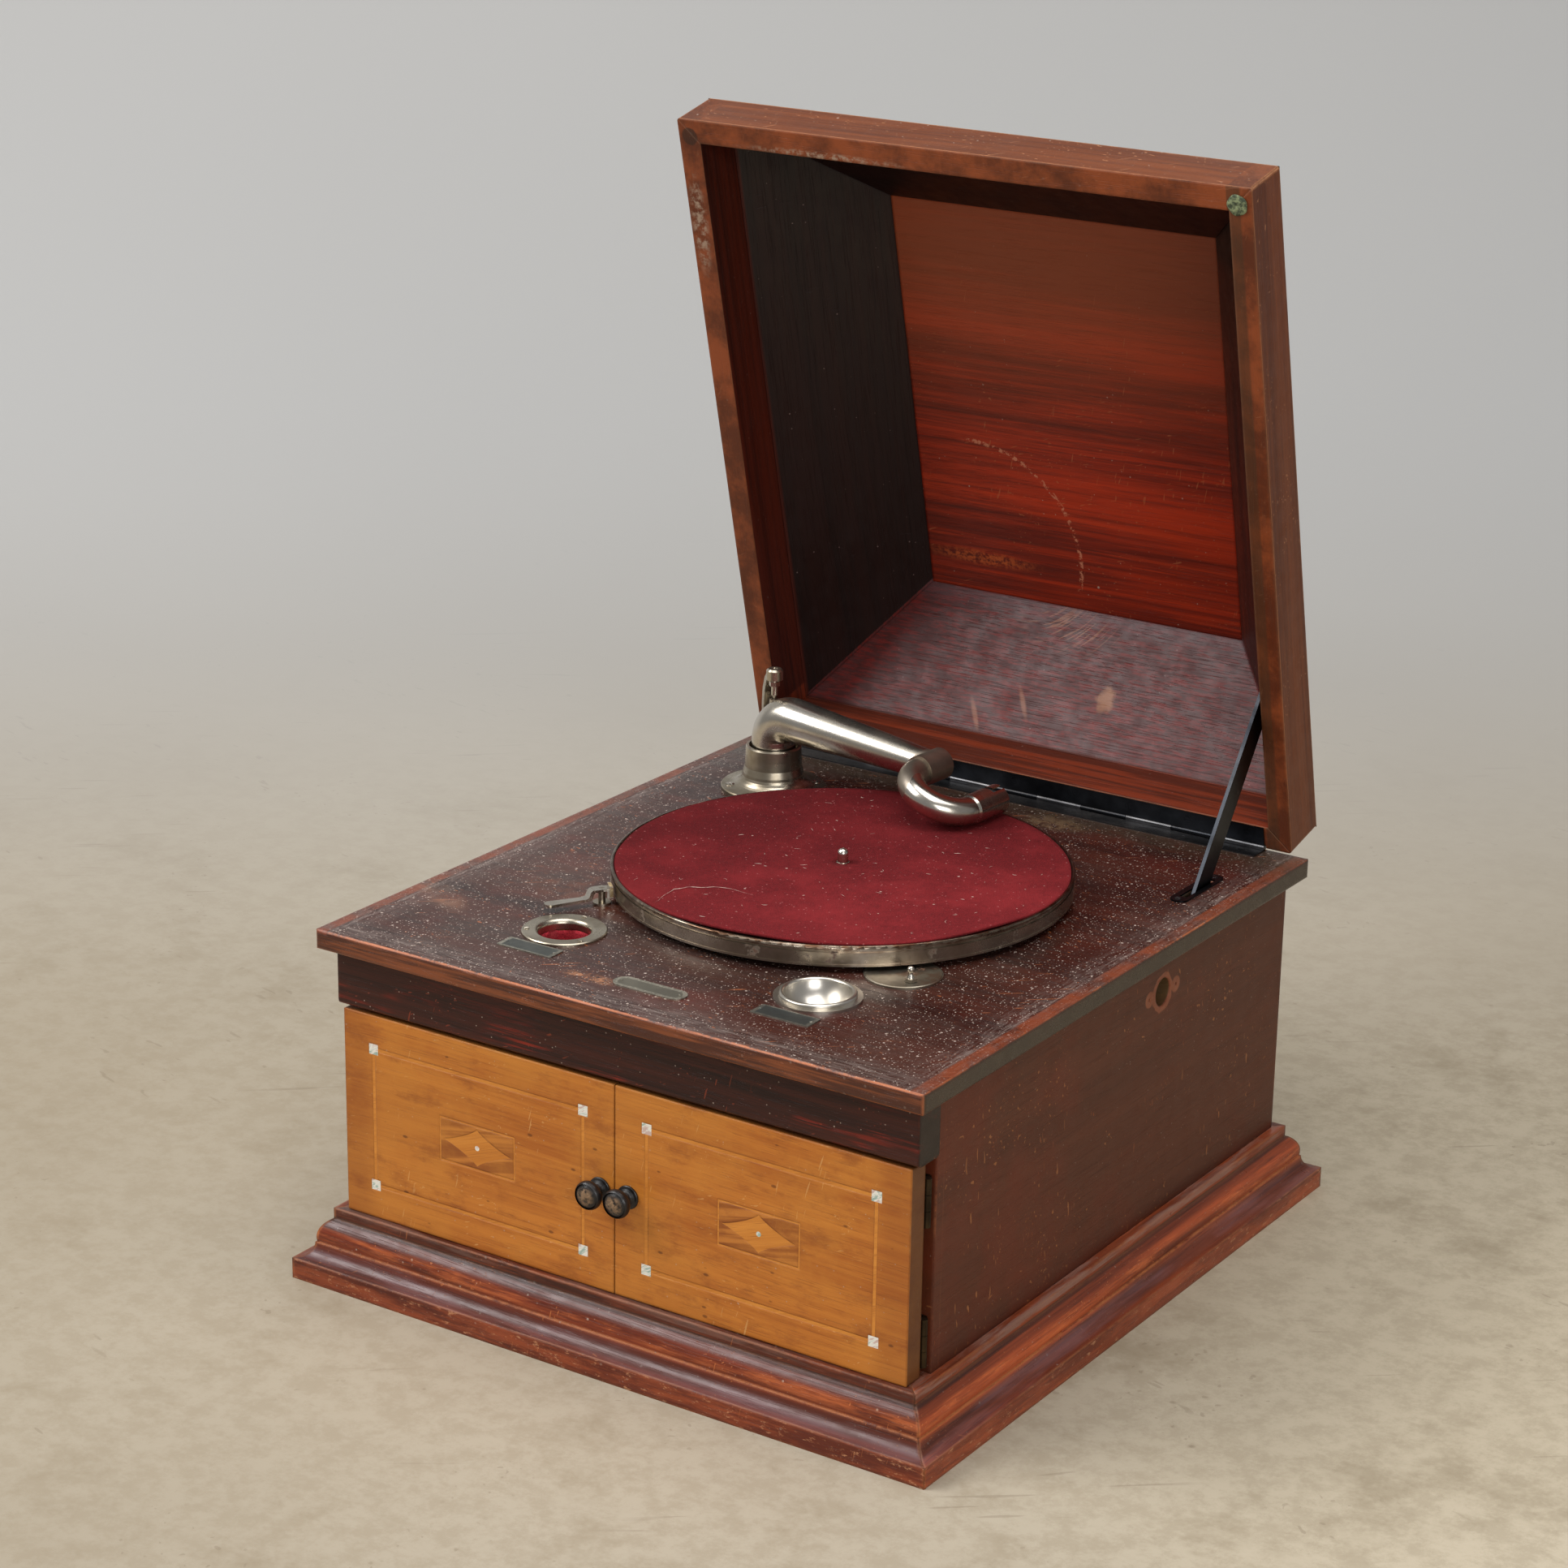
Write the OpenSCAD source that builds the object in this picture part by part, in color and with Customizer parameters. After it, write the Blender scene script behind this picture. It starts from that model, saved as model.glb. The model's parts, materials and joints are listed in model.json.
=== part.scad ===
// Table gramophone with a hipped lid, an internal horn behind two inlaid doors and a spring motor.
// Millimetres. +Z is up and the front faces -Y. The origin is on the floor, under the middle of the deck.

/* [Deck] */
// Width of the deck board, side to side
deck_w = 456; // [450:1:462]
// Depth of the deck board, front to back
deck_d = 494.4; // [490.4:1:500.4]
// Thickness of the deck board
deck_t = 13.7; // [12.7:0.1:14.7]
// Height of the deck's upper face above the floor
deck_top = 244.4; // [243:0.2:250]
// Radius on the deck's arrises
deck_arris_r = 2; // [1:0.5:3]

/* [Case] */
// Distance between the outer faces of the two side panels
case_w = 434; // [431:1:436]
// Thickness of the side panels
side_t = 12; // [11:0.5:13]
// Front edge of the side panels, in front of the middle
side_front = 212; // [211.5:0.1:212.5]
// Back face of the case, behind the middle
case_back = 236; // [235:0.5:237]
// Thickness of the back panel
back_t = 8; // [6:0.5:10]
// Height of the frieze rail over the doors
frieze_h = 39.2; // [38:0.1:40]

/* [Plinth] */
// Height of the base moulding
plinth_h = 48; // [47:0.5:49]
// How far the moulding's upper fillet stands out from the side panels
plinth_step = 6.7; // [5:0.1:8]
// How far the bottom fillet stands out from the upper one
plinth_out = 19.8; // [19.4:0.1:22]

/* [Doors] */
// Front face of the doors, in front of the middle
door_front = 236; // [235.5:0.1:236.5]
// Thickness of the doors
door_t = 15.3; // [15:0.1:15.6]
// Length of the side of a mother-of-pearl square
pearl_side = 7.2; // [6:0.1:8]
// Width of the inlaid lines
line_w = 2.2; // [1.6:0.1:3]
// How far the knobs stand out from the doors
knob_out = 17.4; // [16:0.1:19]

/* [Lid] */
// Angle between the open lid and the shut one
lid_open = 76.3; // [70.3:0.5:78.3]
// Length of the lid, from its hinged edge to its front edge
lid_len = 480.9; // [476.9:0.5:482.9]
// Width of the lid
lid_w = 431.8; // [428.8:0.5:434.8]
// Height of the lid's upright rim, outside
rim_h = 38; // [36:0.5:39]
// Thickness of the rim boards
rim_t = 16.5; // [15:0.1:17.5]
// Rise of the lid's four slopes, which lean in as much as they rise
slope_h = 73; // [70:0.5:76]
// Thickness of the lid's top panel
top_t = 10.9; // [9:0.1:12]

/* [Turntable] */
// Outer diameter of the turntable
table_dia = 305; // [302:0.5:306]
// Distance of the spindle to the right of the middle
table_x = 4; // [3:0.5:5]
// Distance of the spindle behind the middle
table_y = 12; // [11:0.5:13]
// Diameter of the spindle where a record sits
spindle_dia = 7.2; // [7:0.05:7.25]
// Thickness of the felt
felt_t = 2; // [1.5:0.1:2.3]

/* [Tonearm] */
// Distance from the tonearm's pivot to the cross tube at the arm's end
arm_len = 139; // [136:0.5:141]
// Outer radius of the arm's tube at the elbow
arm_r = 15.5; // [15:0.1:15.6]
// Outer radius of the gooseneck's tube
neck_r = 9.5; // [9:0.1:9.6]
// Distance between the two legs of the gooseneck
neck_gap = 47.4; // [46:0.2:49]

/* [Motor] */
// Teeth on the gear round the spring barrel
barrel_teeth = 78; // [76:1:79]
// Teeth on the intermediate wheel
middle_teeth = 60; // [58:1:60]
// Diameter of the governor's brake disc
disc_dia = 28; // [24:0.5:29]

/* [Hidden] */

// Curved faces are true circles; this only sets how they look on screen.
$fn = 64;
// A hair that carries a cutting solid past the face it cuts
eps = 0.5;
// Radial clearance of a running fit
run = 0.05;

// Case
deck_under = deck_top - deck_t;
side_x = case_w / 2;
side_in = side_x - side_t;
frieze_z = deck_under - frieze_h;
frieze_x = side_x + 2;
crank_y = 63.6;
crank_z = 204.6;
crank_hole_r = 9.65;
escutcheon_gap = 35.4;

// Plinth moulding: offsets are from its upper fillet, heights from the floor
rail_t = 18;
plinth_x = side_x + plinth_step;
plinth_half_d = (door_front + case_back + 12.5) / 2;
plinth_shift = (case_back - door_front + 4.1) / 2;
step_t = 7.6;
ovolo_r = 13.6;
ovolo_x = -5.3;
fillet_h = 14.3;
cove_r = 10.3;
cove_x = plinth_out - 0.6;
cove_z = fillet_h + cove_r;

// Doors
door_gap = 1;
door_x = side_x - 2.5;
door_bottom = plinth_h + 0.5;
door_top = frieze_z - 2;
door_h = door_top - door_bottom;
door_mid_x = (door_x + door_gap / 2) / 2;
door_mid_z = (door_bottom + door_top) / 2;
door_back = door_front - door_t;
line_x = 83.3;
line_z = 47.5;
inlay_depth = 1;
cartouche_x = 29.5;
cartouche_z = 14.75;
cartouche_line = 0.9;
star_x = 27;
star_z = 12.6;
dot_r = 1.7;
knob_x = 10.7;
knob_z = 117.5;
butt_h = 32;
butt_z = [door_bottom + 5, door_top - 12 - butt_h];
butt_x = door_x - 1;
butt_y = -(door_back + side_front) / 2;
butt_r = 2.6;
butt_pin_r = 1.2;
butt_leaf_t = 1.2;
butt_play = 0.3;

// Lid: drawn shut, with the hinge's axis as origin, then swung open
leaf_t = 0.85;
hinge_y = 243.5;
hinge_z = deck_top + 1.8;
hinge_len = 392;
hinge_r = 2.3;
hinge_pin_r = 1.2;
hinge_leaf_w = 16;
knuckles = 11;
knuckle_len = hinge_len / knuckles;
lid_x = lid_w / 2;
slope_foot = rim_h + 1.3;
lid_top_z = slope_foot + slope_h + top_t;
top_x = lid_x - rim_t - slope_h;
top_half_l = lid_len / 2 - rim_t - slope_h;
buffer_at = [205.7, 469];

// Lid stay
stay_x = 195;
stay_w = 17;
stay_t = 2.5;
stay_at = [114, 20.5];
stay_len = 172;
stay_pin_r = 3;
slot_from = 128;
slot_to = 168.5;
slot_w = 5.4;
slot_plate = [12.4, 60, 1.2];
stay_y = hinge_y - cos(lid_open) * stay_at[0] + sin(lid_open) * stay_at[1];
stay_z = hinge_z + sin(lid_open) * stay_at[0] + cos(lid_open) * stay_at[1];
stay_lean = -atan2(stay_y - 153.2, stay_z - deck_top);

// Turntable, heights above the deck
table_r = table_dia / 2;
rim_low = 4.6;
rim_top = 18.2;
web_top = 16.7;
web_t = 1.6;
band_t = 2;
lip_r = 1.3;
felt_r = table_r - 2.7;
felt_h = web_top + felt_t;
pin_r = spindle_dia / 2;
pin_rise = 9.5;
shoulder_r = pin_r + 0.6;
shaft_r = 5;
hub_r = 14;

// Tonearm, heights above the deck
arm_at = [-147.2, 155.2];
arm_turn = -5;
arm_low = 10;
bend_r = 17;
arm_z = 54;
cross_z = 46.7;
cross_r = 11;
cross_half = 15;
tube_t = 1.3;
cap_r = 14;
bend_z = arm_z - bend_r;
bend_to = [arm_len - bend_r, cross_z - bend_z];
droop = asin(bend_r / norm(bend_to)) - atan(bend_to[1] / bend_to[0]);
taper_len = sqrt(bend_to * bend_to - bend_r * bend_r);
arm_tip_r = 10.3;
seam = 0.3;
flange_r = 37;
bell_top = 32.4;
mouth_r = 17.4;
strap_turn = 137;
strap_w = 6.6;
boss_r = 5.9;
boss_low = 80.3;
boss_high = 88.2;
boss_bevel = 1.3;
screw_r = 2.3;
neck_low = neck_r + 0.9;
neck_drop = asin((cross_z - felt_h - neck_low - 0.35) / neck_gap);
sleeve_len = 31;
socket_r = neck_low - 1.2;
socket_depth = 15;

// Small fittings on the deck
ring_at = [-96.5, -158];
ring_r = 27.5;
ring_throat_r = 17.2;
well_depth = 44;
cup_at = [95.8, -156.8];
cup_r = 27.75;
bowl_r = 20.75;
bowl_depth = 13.4;
bowl_round = (bowl_r * bowl_r + pow(bowl_depth + 2, 2)) / (2 * (bowl_depth + 2));
dial_at = [118.6, -95.2];
dial_r = 24.9;
speed_at = [129.9, -104.7];
plaque_at = [5, -206];
label_at = [96.5, -194];
brake_at = [-107.1, -103.5];

// Horn
duct_r = 18;
throat_r = 22;
horn_wall = 2.4;
elbow_bend = 40;
throat_z = 78;
mouth_a = 172;
mouth_b = 53;
mouth_z = 119;
board_t = 9;
horn_from = arm_at[1] - elbow_bend;
horn_to = board_t - side_front;
horn_rings = 18;
horn_sides = 48;

// Motor
plate_t = 3;
plate_z = deck_under - 13;
foot_z = 150;
floor_z = foot_z + plate_t;
plate_mid = [37, 33];
plate_size = [174, 158];
pillar_at = [[-42, -38], [116, -38], [116, 104], [-42, 104]];
bolt_at = [[-36, 90], [108, 88], [60, -36]];
bolt_r = 2.4;
bush_r = 8;
pinion_teeth = 12;
spindle_at = [table_x, table_y];
barrel_at = [60, crank_y];
mesh_a = (pinion_teeth + middle_teeth) / 2;
mesh_b = (pinion_teeth + barrel_teeth) / 2;
span = norm(barrel_at - spindle_at);
along = (mesh_a * mesh_a - mesh_b * mesh_b + span * span) / (2 * span);
aside = sqrt(mesh_a * mesh_a - along * along);
toward = (barrel_at - spindle_at) / span;
middle_at = spindle_at + along * toward + aside * [-toward[1], toward[0]];
wheel_z = 155.5;
barrel_z = 161;
barrel_h = 29;
drum_r = 36.5;
arbor_r = 4;
bevel_n = [26, 16];
bevel_face = 4;
shaft_end = side_in - 1;
cone_len = norm(bevel_n) / 2;
bevel_shrink = (cone_len - bevel_face) / cone_len;
worm_n = 48;
worm_r = 5;
worm_z = 187;
worm_y = table_y - worm_n / 2 - worm_r;
worm_starts = 4;
worm_len = 20;
worm_lead = worm_starts * PI;
worm_wheel_t = 8;
worm_wheel_twist = worm_wheel_t * worm_lead / (2 * PI * worm_r) * 180 / (PI * worm_n / 2);
disc_x = 66;
ball_r = 5.5;
ball_out = 12;
click_turn = 16.3;

// Points along an arc round c, from angle a to angle b
function arc(c, r, a, b, n) =
    [for (i = [0:n]) c + r * [cos(a + (b - a) * i / n), sin(a + (b - a) * i / n)]];
// A value raised to a power, keeping its sign
function bow(v, p) = sign(v) * pow(abs(v), p);
// Outline of a gear of module 1, a tooth on the +X axis; tip is the height of a tooth over the pitch circle
function gear(teeth, tip = 0.9) = [
    for (i = [0:teeth - 1], p = [[-0.31, -1.15], [-0.12, tip], [0.12, tip], [0.31, -1.15]])
        let (a = 360 * (i + p[0]) / teeth, r = teeth / 2 + p[1])
            r * [cos(a), sin(a)]];
// Outline of a ratchet wheel
function ratchet(teeth, low, high) = [
    for (i = [0:teeth - 1], p = [[0, low], [0.9, high]])
        let (a = 360 * (i + p[0]) / teeth)
            p[1] * [cos(a), sin(a)]];
// Half widths of the horn at a share t of its length: it widens by the same factor in each equal step
function horn_a(t) = throat_r * pow(mouth_a / throat_r, t);
function horn_b(t) = throat_r * pow(mouth_b / throat_r, t);
// One section of the horn: a circle at the throat, nearly a rectangle at the mouth
function horn_section(t, out) =
    let (a = horn_a(t), b = horn_b(t), p = 2 / (2 + 4 * t),
         cx = arm_at[0] * (1 - (a - throat_r) / (mouth_a - throat_r)),
         cz = throat_z + (mouth_z - throat_z) * (b - throat_r) / (mouth_b - throat_r))
    [for (k = [0:horn_sides - 1])
        let (u = 360 * k / horn_sides)
            [cx + (a + out) * bow(cos(u), p), cz + (b + out) * bow(sin(u), p)]];
function horn_ring(t, out) =
    [for (q = horn_section(t, out)) [q[0], horn_from + (horn_to - horn_from) * t, q[1]]];

// A profile of (y, z) run along X, and one of (x, z) run along Y
module along_x(len) rotate([90, 0, 90]) linear_extrude(len, center = true) children();
module along_y(len) rotate([90, 0, 0]) linear_extrude(len, center = true) children();
module board(x, y, z) translate([x[0], y[0], z[0]]) cube([x[1] - x[0], y[1] - y[0], z[1] - z[0]]);
module rounded(w, h, r) {
    square([w - 2 * r, h], center = true);
    square([w, h - 2 * r], center = true);
    for (x = [-1, 1], y = [-1, 1]) translate([x * (w / 2 - r), y * (h / 2 - r)]) circle(r);
}
module on_deck(at, z = 0) translate([at[0], at[1], deck_top + z]) children();
module through(at, r) on_deck(at, -deck_t - eps) cylinder(h = deck_t + 2 * eps, r = r);

// Plinth
module plinth_profile() {
    translate([-rail_t, 0]) square([rail_t, plinth_h]);
    translate([-rail_t, 0]) square([rail_t + plinth_out, fillet_h]);
    intersection() {
        translate([ovolo_x, plinth_h - 20.1]) circle(ovolo_r);
        translate([-eps, cove_z]) square([ovolo_r, plinth_h - step_t - cove_z]);
    }
    difference() {
        translate([-eps, 0]) square([cove_x + eps, cove_z]);
        translate([cove_x, cove_z]) circle(cove_r);
    }
}
module mitred_rail(half, reach) intersection() {
    along_x(2 * half + 60) translate([reach, 0]) plinth_profile();
    translate([0, 0, -eps]) linear_extrude(plinth_h + 2 * eps)
        polygon([[-half - 25, reach + 25], [half + 25, reach + 25], [half - 20, reach - 20], [20 - half, reach - 20]]);
}
module plinth_front_back() color([0.36, 0.13, 0.08]) translate([0, plinth_shift, 0])
    for (a = [0, 180]) rotate([0, 0, a]) mitred_rail(plinth_x, plinth_half_d);
module plinth_sides() color([0.36, 0.13, 0.08]) translate([0, plinth_shift, 0])
    for (a = [90, 270]) rotate([0, 0, a]) mitred_rail(plinth_half_d, plinth_x);
module bottom_board() color([0.45, 0.33, 0.22]) {
    x = plinth_x - rail_t;
    front = plinth_shift - plinth_half_d + rail_t;
    board([-x, x], [front, plinth_shift + plinth_half_d - rail_t], [0, 9]);
    board([-x, x], [front, -side_front], [8, plinth_h]);
}

// Case
module side_panel() board([side_in, side_x], [-side_front, case_back], [plinth_h, deck_under]);
module left_side() color([0.30, 0.14, 0.09]) mirror([1, 0, 0]) side_panel();
module right_side() color([0.30, 0.14, 0.09]) difference() {
    side_panel();
    translate([side_x - side_t / 2, crank_y, crank_z]) rotate([0, 90, 0]) {
        cylinder(h = 2 * side_t, r = crank_hole_r, center = true);
        for (s = [-1, 1]) translate([0, s * escutcheon_gap / 2, 0]) cylinder(h = 2 * side_t, r = 1.2, center = true);
    }
}
module back_panel() color([0.28, 0.15, 0.10])
    board([-side_in, side_in], [case_back - back_t, case_back], [plinth_h, deck_under]);
module frieze_rail() color([0.24, 0.10, 0.07]) along_x(2 * frieze_x)
    translate([-(door_front + side_front + 1) / 2, frieze_z + frieze_h / 2]) {
        rounded(door_front - side_front - 1, frieze_h, 3);
        translate([-(door_front - side_front - 1) / 2, 0]) square([door_front - side_front - 1, frieze_h / 2]);
    }
module deck() color([0.22, 0.11, 0.09]) difference() {
    intersection() {
        translate([0, 0, deck_under]) linear_extrude(deck_t) rounded(deck_w, deck_d, 3);
        along_x(deck_w + 2) translate([0, deck_top - deck_t / 2]) rounded(deck_d, deck_t, deck_arris_r);
        along_y(deck_d + 2) translate([0, deck_top - deck_t / 2]) rounded(deck_w, deck_t, deck_arris_r);
    }
    through(spindle_at, 8);
    through(arm_at, duct_r);
    through(ring_at, ring_throat_r + 2);
    through(cup_at, bowl_r + 0.8);
    through(speed_at, 2.5 + run);
    for (p = bolt_at) through(p, bolt_r);
    on_deck(brake_at, -8) cylinder(h = 8 + eps, r = 2);
    translate([stay_x, (slot_from + slot_to) / 2, deck_under - eps]) linear_extrude(deck_t + 2 * eps)
        square([slot_w, slot_to - slot_from], center = true);
    translate([0, hinge_y, hinge_z]) rotate([0, 90, 0]) cylinder(h = hinge_len + 2, r = hinge_r + 0.3, center = true);
}

// Doors: drawn on the right, mirrored for the left
module door_face() translate([door_mid_x, -door_front, door_mid_z]) rotate([90, 0, 0]) translate([0, 0, -inlay_depth])
    linear_extrude(inlay_depth) children();
module frame_shape(x, y, w) difference() {
    square([2 * x + w, 2 * y + w], center = true);
    square([2 * x - w, 2 * y - w], center = true);
}
module star_shape() polygon([for (k = [0:47]) [star_x * bow(cos(7.5 * k), 2.4), star_z * bow(sin(7.5 * k), 2.4)]]);
module pearl_shape() {
    for (x = [-1, 1], y = [-1, 1]) translate([x * line_x, y * line_z]) square(pearl_side, center = true);
    circle(dot_r);
}
module line_shape() {
    difference() {
        frame_shape(line_x, line_z, line_w);
        for (x = [-1, 1], y = [-1, 1]) translate([x * line_x, y * line_z]) square(pearl_side, center = true);
    }
    frame_shape(cartouche_x, cartouche_z, cartouche_line);
    difference() {
        star_shape();
        circle(dot_r);
    }
}
module door_leaf() difference() {
    board([door_gap / 2, door_x], [-door_front, -door_back], [door_bottom, door_top]);
    door_face() line_shape();
    door_face() pearl_shape();
    translate([knob_x, -door_front - eps, knob_z]) rotate([-90, 0, 0]) cylinder(h = 8 + eps, r = 3);
}
module knob() translate([knob_x, -door_front, knob_z]) rotate([90, 0, 0]) {
    translate([0, 0, -8]) cylinder(h = 9, r = 3);
    rotate_extrude() polygon(concat([[0, 0], [7.5, 0]], arc([6.9, 0.9], 0.9, -40, 90, 4), arc([7.4, 5.2], 3.4, 245, 130, 6),
        arc([5.4, 12.6], 4.1, 225, 405, 12), arc([0, knob_out - 13], 13, 47, 90, 6)));
}
// Butt hinges: the door carries the middle knuckle, the case the outer two and the pin
module door_butts() difference() {
    for (z = butt_z) {
        board([butt_x - 14, butt_x - 1], [-door_back, butt_leaf_t - door_back], [z, z + butt_h]);
        translate([butt_x, butt_y, z + butt_h / 3 + butt_play / 2]) cylinder(h = butt_h / 3 - butt_play, r = butt_r);
        board([butt_x - 2, butt_x], [-door_back, butt_y], [z + butt_h / 3 + butt_play / 2, z + butt_h * 2 / 3 - butt_play / 2]);
    }
    translate([butt_x, butt_y, door_bottom]) cylinder(h = door_h, r = butt_pin_r + run);
}
module case_butts() {
    for (z = butt_z) {
        board([butt_x - 8, butt_x - 1], [-side_front - butt_leaf_t, -side_front], [z, z + butt_h]);
        for (i = [0, 2]) {
            translate([butt_x, butt_y, z + i * butt_h / 3 + butt_play / 2]) cylinder(h = butt_h / 3 - butt_play, r = butt_r);
            board([butt_x - 2, butt_x], [butt_y, -side_front],
                  [z + i * butt_h / 3 + butt_play / 2, z + (i + 1) * butt_h / 3 - butt_play / 2]);
        }
        translate([butt_x, butt_y, z + butt_play / 2]) cylinder(h = butt_h - butt_play, r = butt_pin_r);
    }
}
module left_door() color([0.72, 0.42, 0.16]) mirror([1, 0, 0]) door_leaf();
module left_door_lines() color([0.85, 0.60, 0.25]) mirror([1, 0, 0]) door_face() line_shape();
module left_door_pearls() color([0.90, 0.90, 0.85]) mirror([1, 0, 0]) door_face() pearl_shape();
module left_knob() color([0.08, 0.07, 0.07]) mirror([1, 0, 0]) knob();
module left_door_hinges() color([0.55, 0.45, 0.25]) mirror([1, 0, 0]) door_butts();
module right_door() color([0.72, 0.42, 0.16]) door_leaf();
module right_door_lines() color([0.85, 0.60, 0.25]) door_face() line_shape();
module right_door_pearls() color([0.90, 0.90, 0.85]) door_face() pearl_shape();
module right_knob() color([0.08, 0.07, 0.07]) knob();
module right_door_hinges() color([0.55, 0.45, 0.25]) door_butts();
module door_hinge_frames() color([0.55, 0.45, 0.25]) {
    case_butts();
    mirror([1, 0, 0]) case_butts();
}

// Lid
module lid_pose() translate([0, hinge_y, hinge_z]) rotate([-lid_open, 0, 0]) children();
module lid_profile(half, base) polygon([[-half, base], [half, base],
    [half + base - lid_top_z, lid_top_z], [lid_top_z - base - half, lid_top_z]]);
module lid_hip(half_x, half_l, base) translate([0, -lid_len / 2, 0]) intersection() {
    along_x(2 * half_x + 2) lid_profile(half_l, base);
    along_y(2 * half_l + 2) lid_profile(half_x, base);
}
module lid_hollow() {
    translate([-lid_x + rim_t, rim_t - lid_len, rim_h - eps])
        cube([2 * (lid_x - rim_t), lid_len - 2 * rim_t, slope_foot - rim_h + eps]);
    lid_hip(lid_x - rim_t, lid_len / 2 - rim_t, slope_foot);
    translate([-top_x, -lid_len / 2 - top_half_l, slope_foot]) cube([2 * top_x, 2 * top_half_l, slope_h + top_t + eps]);
}
module hinge_groove() rotate([0, 90, 0]) cylinder(h = hinge_len + 2, r = hinge_r + 0.3, center = true);
// The wedge of the lid that belongs to its two long sides, mitred at the corners
module side_wedge(reach) for (s = [0, 1]) mirror([s, 0, 0])
    translate([0, -lid_len / 2, -eps]) linear_extrude(lid_top_z + 2 * eps)
        polygon([[lid_x + 5, lid_len / 2 + 5], [lid_x - reach, lid_len / 2 - reach],
                 [lid_x - reach, reach - lid_len / 2], [lid_x + 5, -lid_len / 2 - 5]]);
module rim_frame() difference() {
    translate([0, -lid_len / 2, 0]) linear_extrude(rim_h) difference() {
        rounded(lid_w, lid_len, 2);
        square([lid_w - 2 * rim_t, lid_len - 2 * rim_t], center = true);
    }
    hinge_groove();
}
module slope_frame() difference() {
    lid_hip(lid_x, lid_len / 2, rim_h);
    lid_hollow();
}
module lid_rim_sides() color([0.42, 0.18, 0.09]) lid_pose() intersection() {
    rim_frame();
    side_wedge(rim_t + 10);
}
module lid_rim_ends() color([0.42, 0.18, 0.09]) lid_pose() difference() {
    rim_frame();
    side_wedge(rim_t + 10);
}
module lid_slopes_sides() color([0.42, 0.18, 0.09]) lid_pose() intersection() {
    slope_frame();
    side_wedge(rim_t + slope_h + 10);
}
module lid_slopes_ends() color([0.42, 0.18, 0.09]) lid_pose() difference() {
    slope_frame();
    side_wedge(rim_t + slope_h + 10);
}
module lid_top() color([0.50, 0.14, 0.08]) lid_pose() translate([0, -lid_len / 2, slope_foot + slope_h])
    linear_extrude(top_t) square([2 * top_x, 2 * top_half_l], center = true);
module lid_buffer() color([0.25, 0.35, 0.25]) lid_pose()
    translate([buffer_at[0], -buffer_at[1], -1.6]) cylinder(h = 1.6, r = 7);

// Lid hinge: one long hinge, its knuckles shared out in turn
module hinge_knuckles(odd) difference() {
    for (i = [0:knuckles - 1])
        if (i % 2 == odd) translate([-hinge_len / 2 + i * knuckle_len + 0.2, 0, 0]) rotate([0, 90, 0])
            cylinder(h = knuckle_len - 0.4, r = hinge_r);
    rotate([0, 90, 0]) cylinder(h = hinge_len + 2, r = hinge_pin_r + (odd == 1 ? run : 0), center = true);
}
module leaf_notches(odd) for (i = [0:knuckles - 1])
    if (i % 2 != odd) translate([-hinge_len / 2 + i * knuckle_len - 0.2, -hinge_r - 0.3, -3])
        cube([knuckle_len + 0.4, hinge_r + 0.3, 6]);
module hinge_deck_leaf() color([0.30, 0.29, 0.27]) translate([0, hinge_y, hinge_z]) {
    hinge_knuckles(0);
    rotate([0, 90, 0]) cylinder(h = hinge_len, r = hinge_pin_r, center = true);
    difference() {
        board([-hinge_len / 2, hinge_len / 2], [-hinge_leaf_w, -hinge_pin_r], [-1.8, leaf_t - 1.8]);
        leaf_notches(0);
    }
}
module hinge_lid_leaf() color([0.12, 0.12, 0.12]) lid_pose() {
    hinge_knuckles(1);
    difference() {
        board([-hinge_len / 2, hinge_len / 2], [-hinge_leaf_w, -hinge_pin_r - run], [-leaf_t, 0]);
        leaf_notches(1);
    }
}

// Lid stay, its slotted plate on the deck and its stud in the lid
module stay_stud() color([0.35, 0.34, 0.32]) lid_pose() translate([0, -stay_at[0], stay_at[1]]) rotate([0, 90, 0]) {
    translate([0, 0, stay_x - stay_t / 2 - 0.2]) cylinder(h = lid_x - rim_t - stay_x + stay_t / 2 + 0.2, r = stay_pin_r);
    translate([0, 0, stay_x - stay_t / 2 - 1.4]) cylinder(h = 1.2, r = 5);
}
module lid_stay() color([0.20, 0.20, 0.21]) translate([stay_x, stay_y, stay_z]) rotate([stay_lean, 0, 0])
    difference() {
        union() {
            translate([0, 0, -stay_len / 2 + stay_w / 4]) rotate([0, 90, 0])
                linear_extrude(stay_t, center = true) {
                    square([stay_len - stay_w / 2, stay_w], center = true);
                    translate([-(stay_len - stay_w / 2) / 2, 0]) circle(stay_w / 2);
                    translate([(stay_len - stay_w / 2) / 2, 0]) circle(stay_w / 2);
                }
            translate([0, 0, -stay_len + 5]) rotate([0, 90, 0]) cylinder(h = 9, r = 2.5, center = true);
        }
        rotate([0, 90, 0]) cylinder(h = 10, r = stay_pin_r + run, center = true);
    }
module stay_plate() color([0.22, 0.21, 0.20])
    translate([stay_x, (slot_from + slot_to) / 2, deck_top]) linear_extrude(slot_plate[2]) difference() {
        translate([-0.8, 0.6]) rounded(slot_plate[0], slot_plate[1], slot_plate[0] / 2 - 0.1);
        square([slot_w, slot_to - slot_from], center = true);
    }

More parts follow.
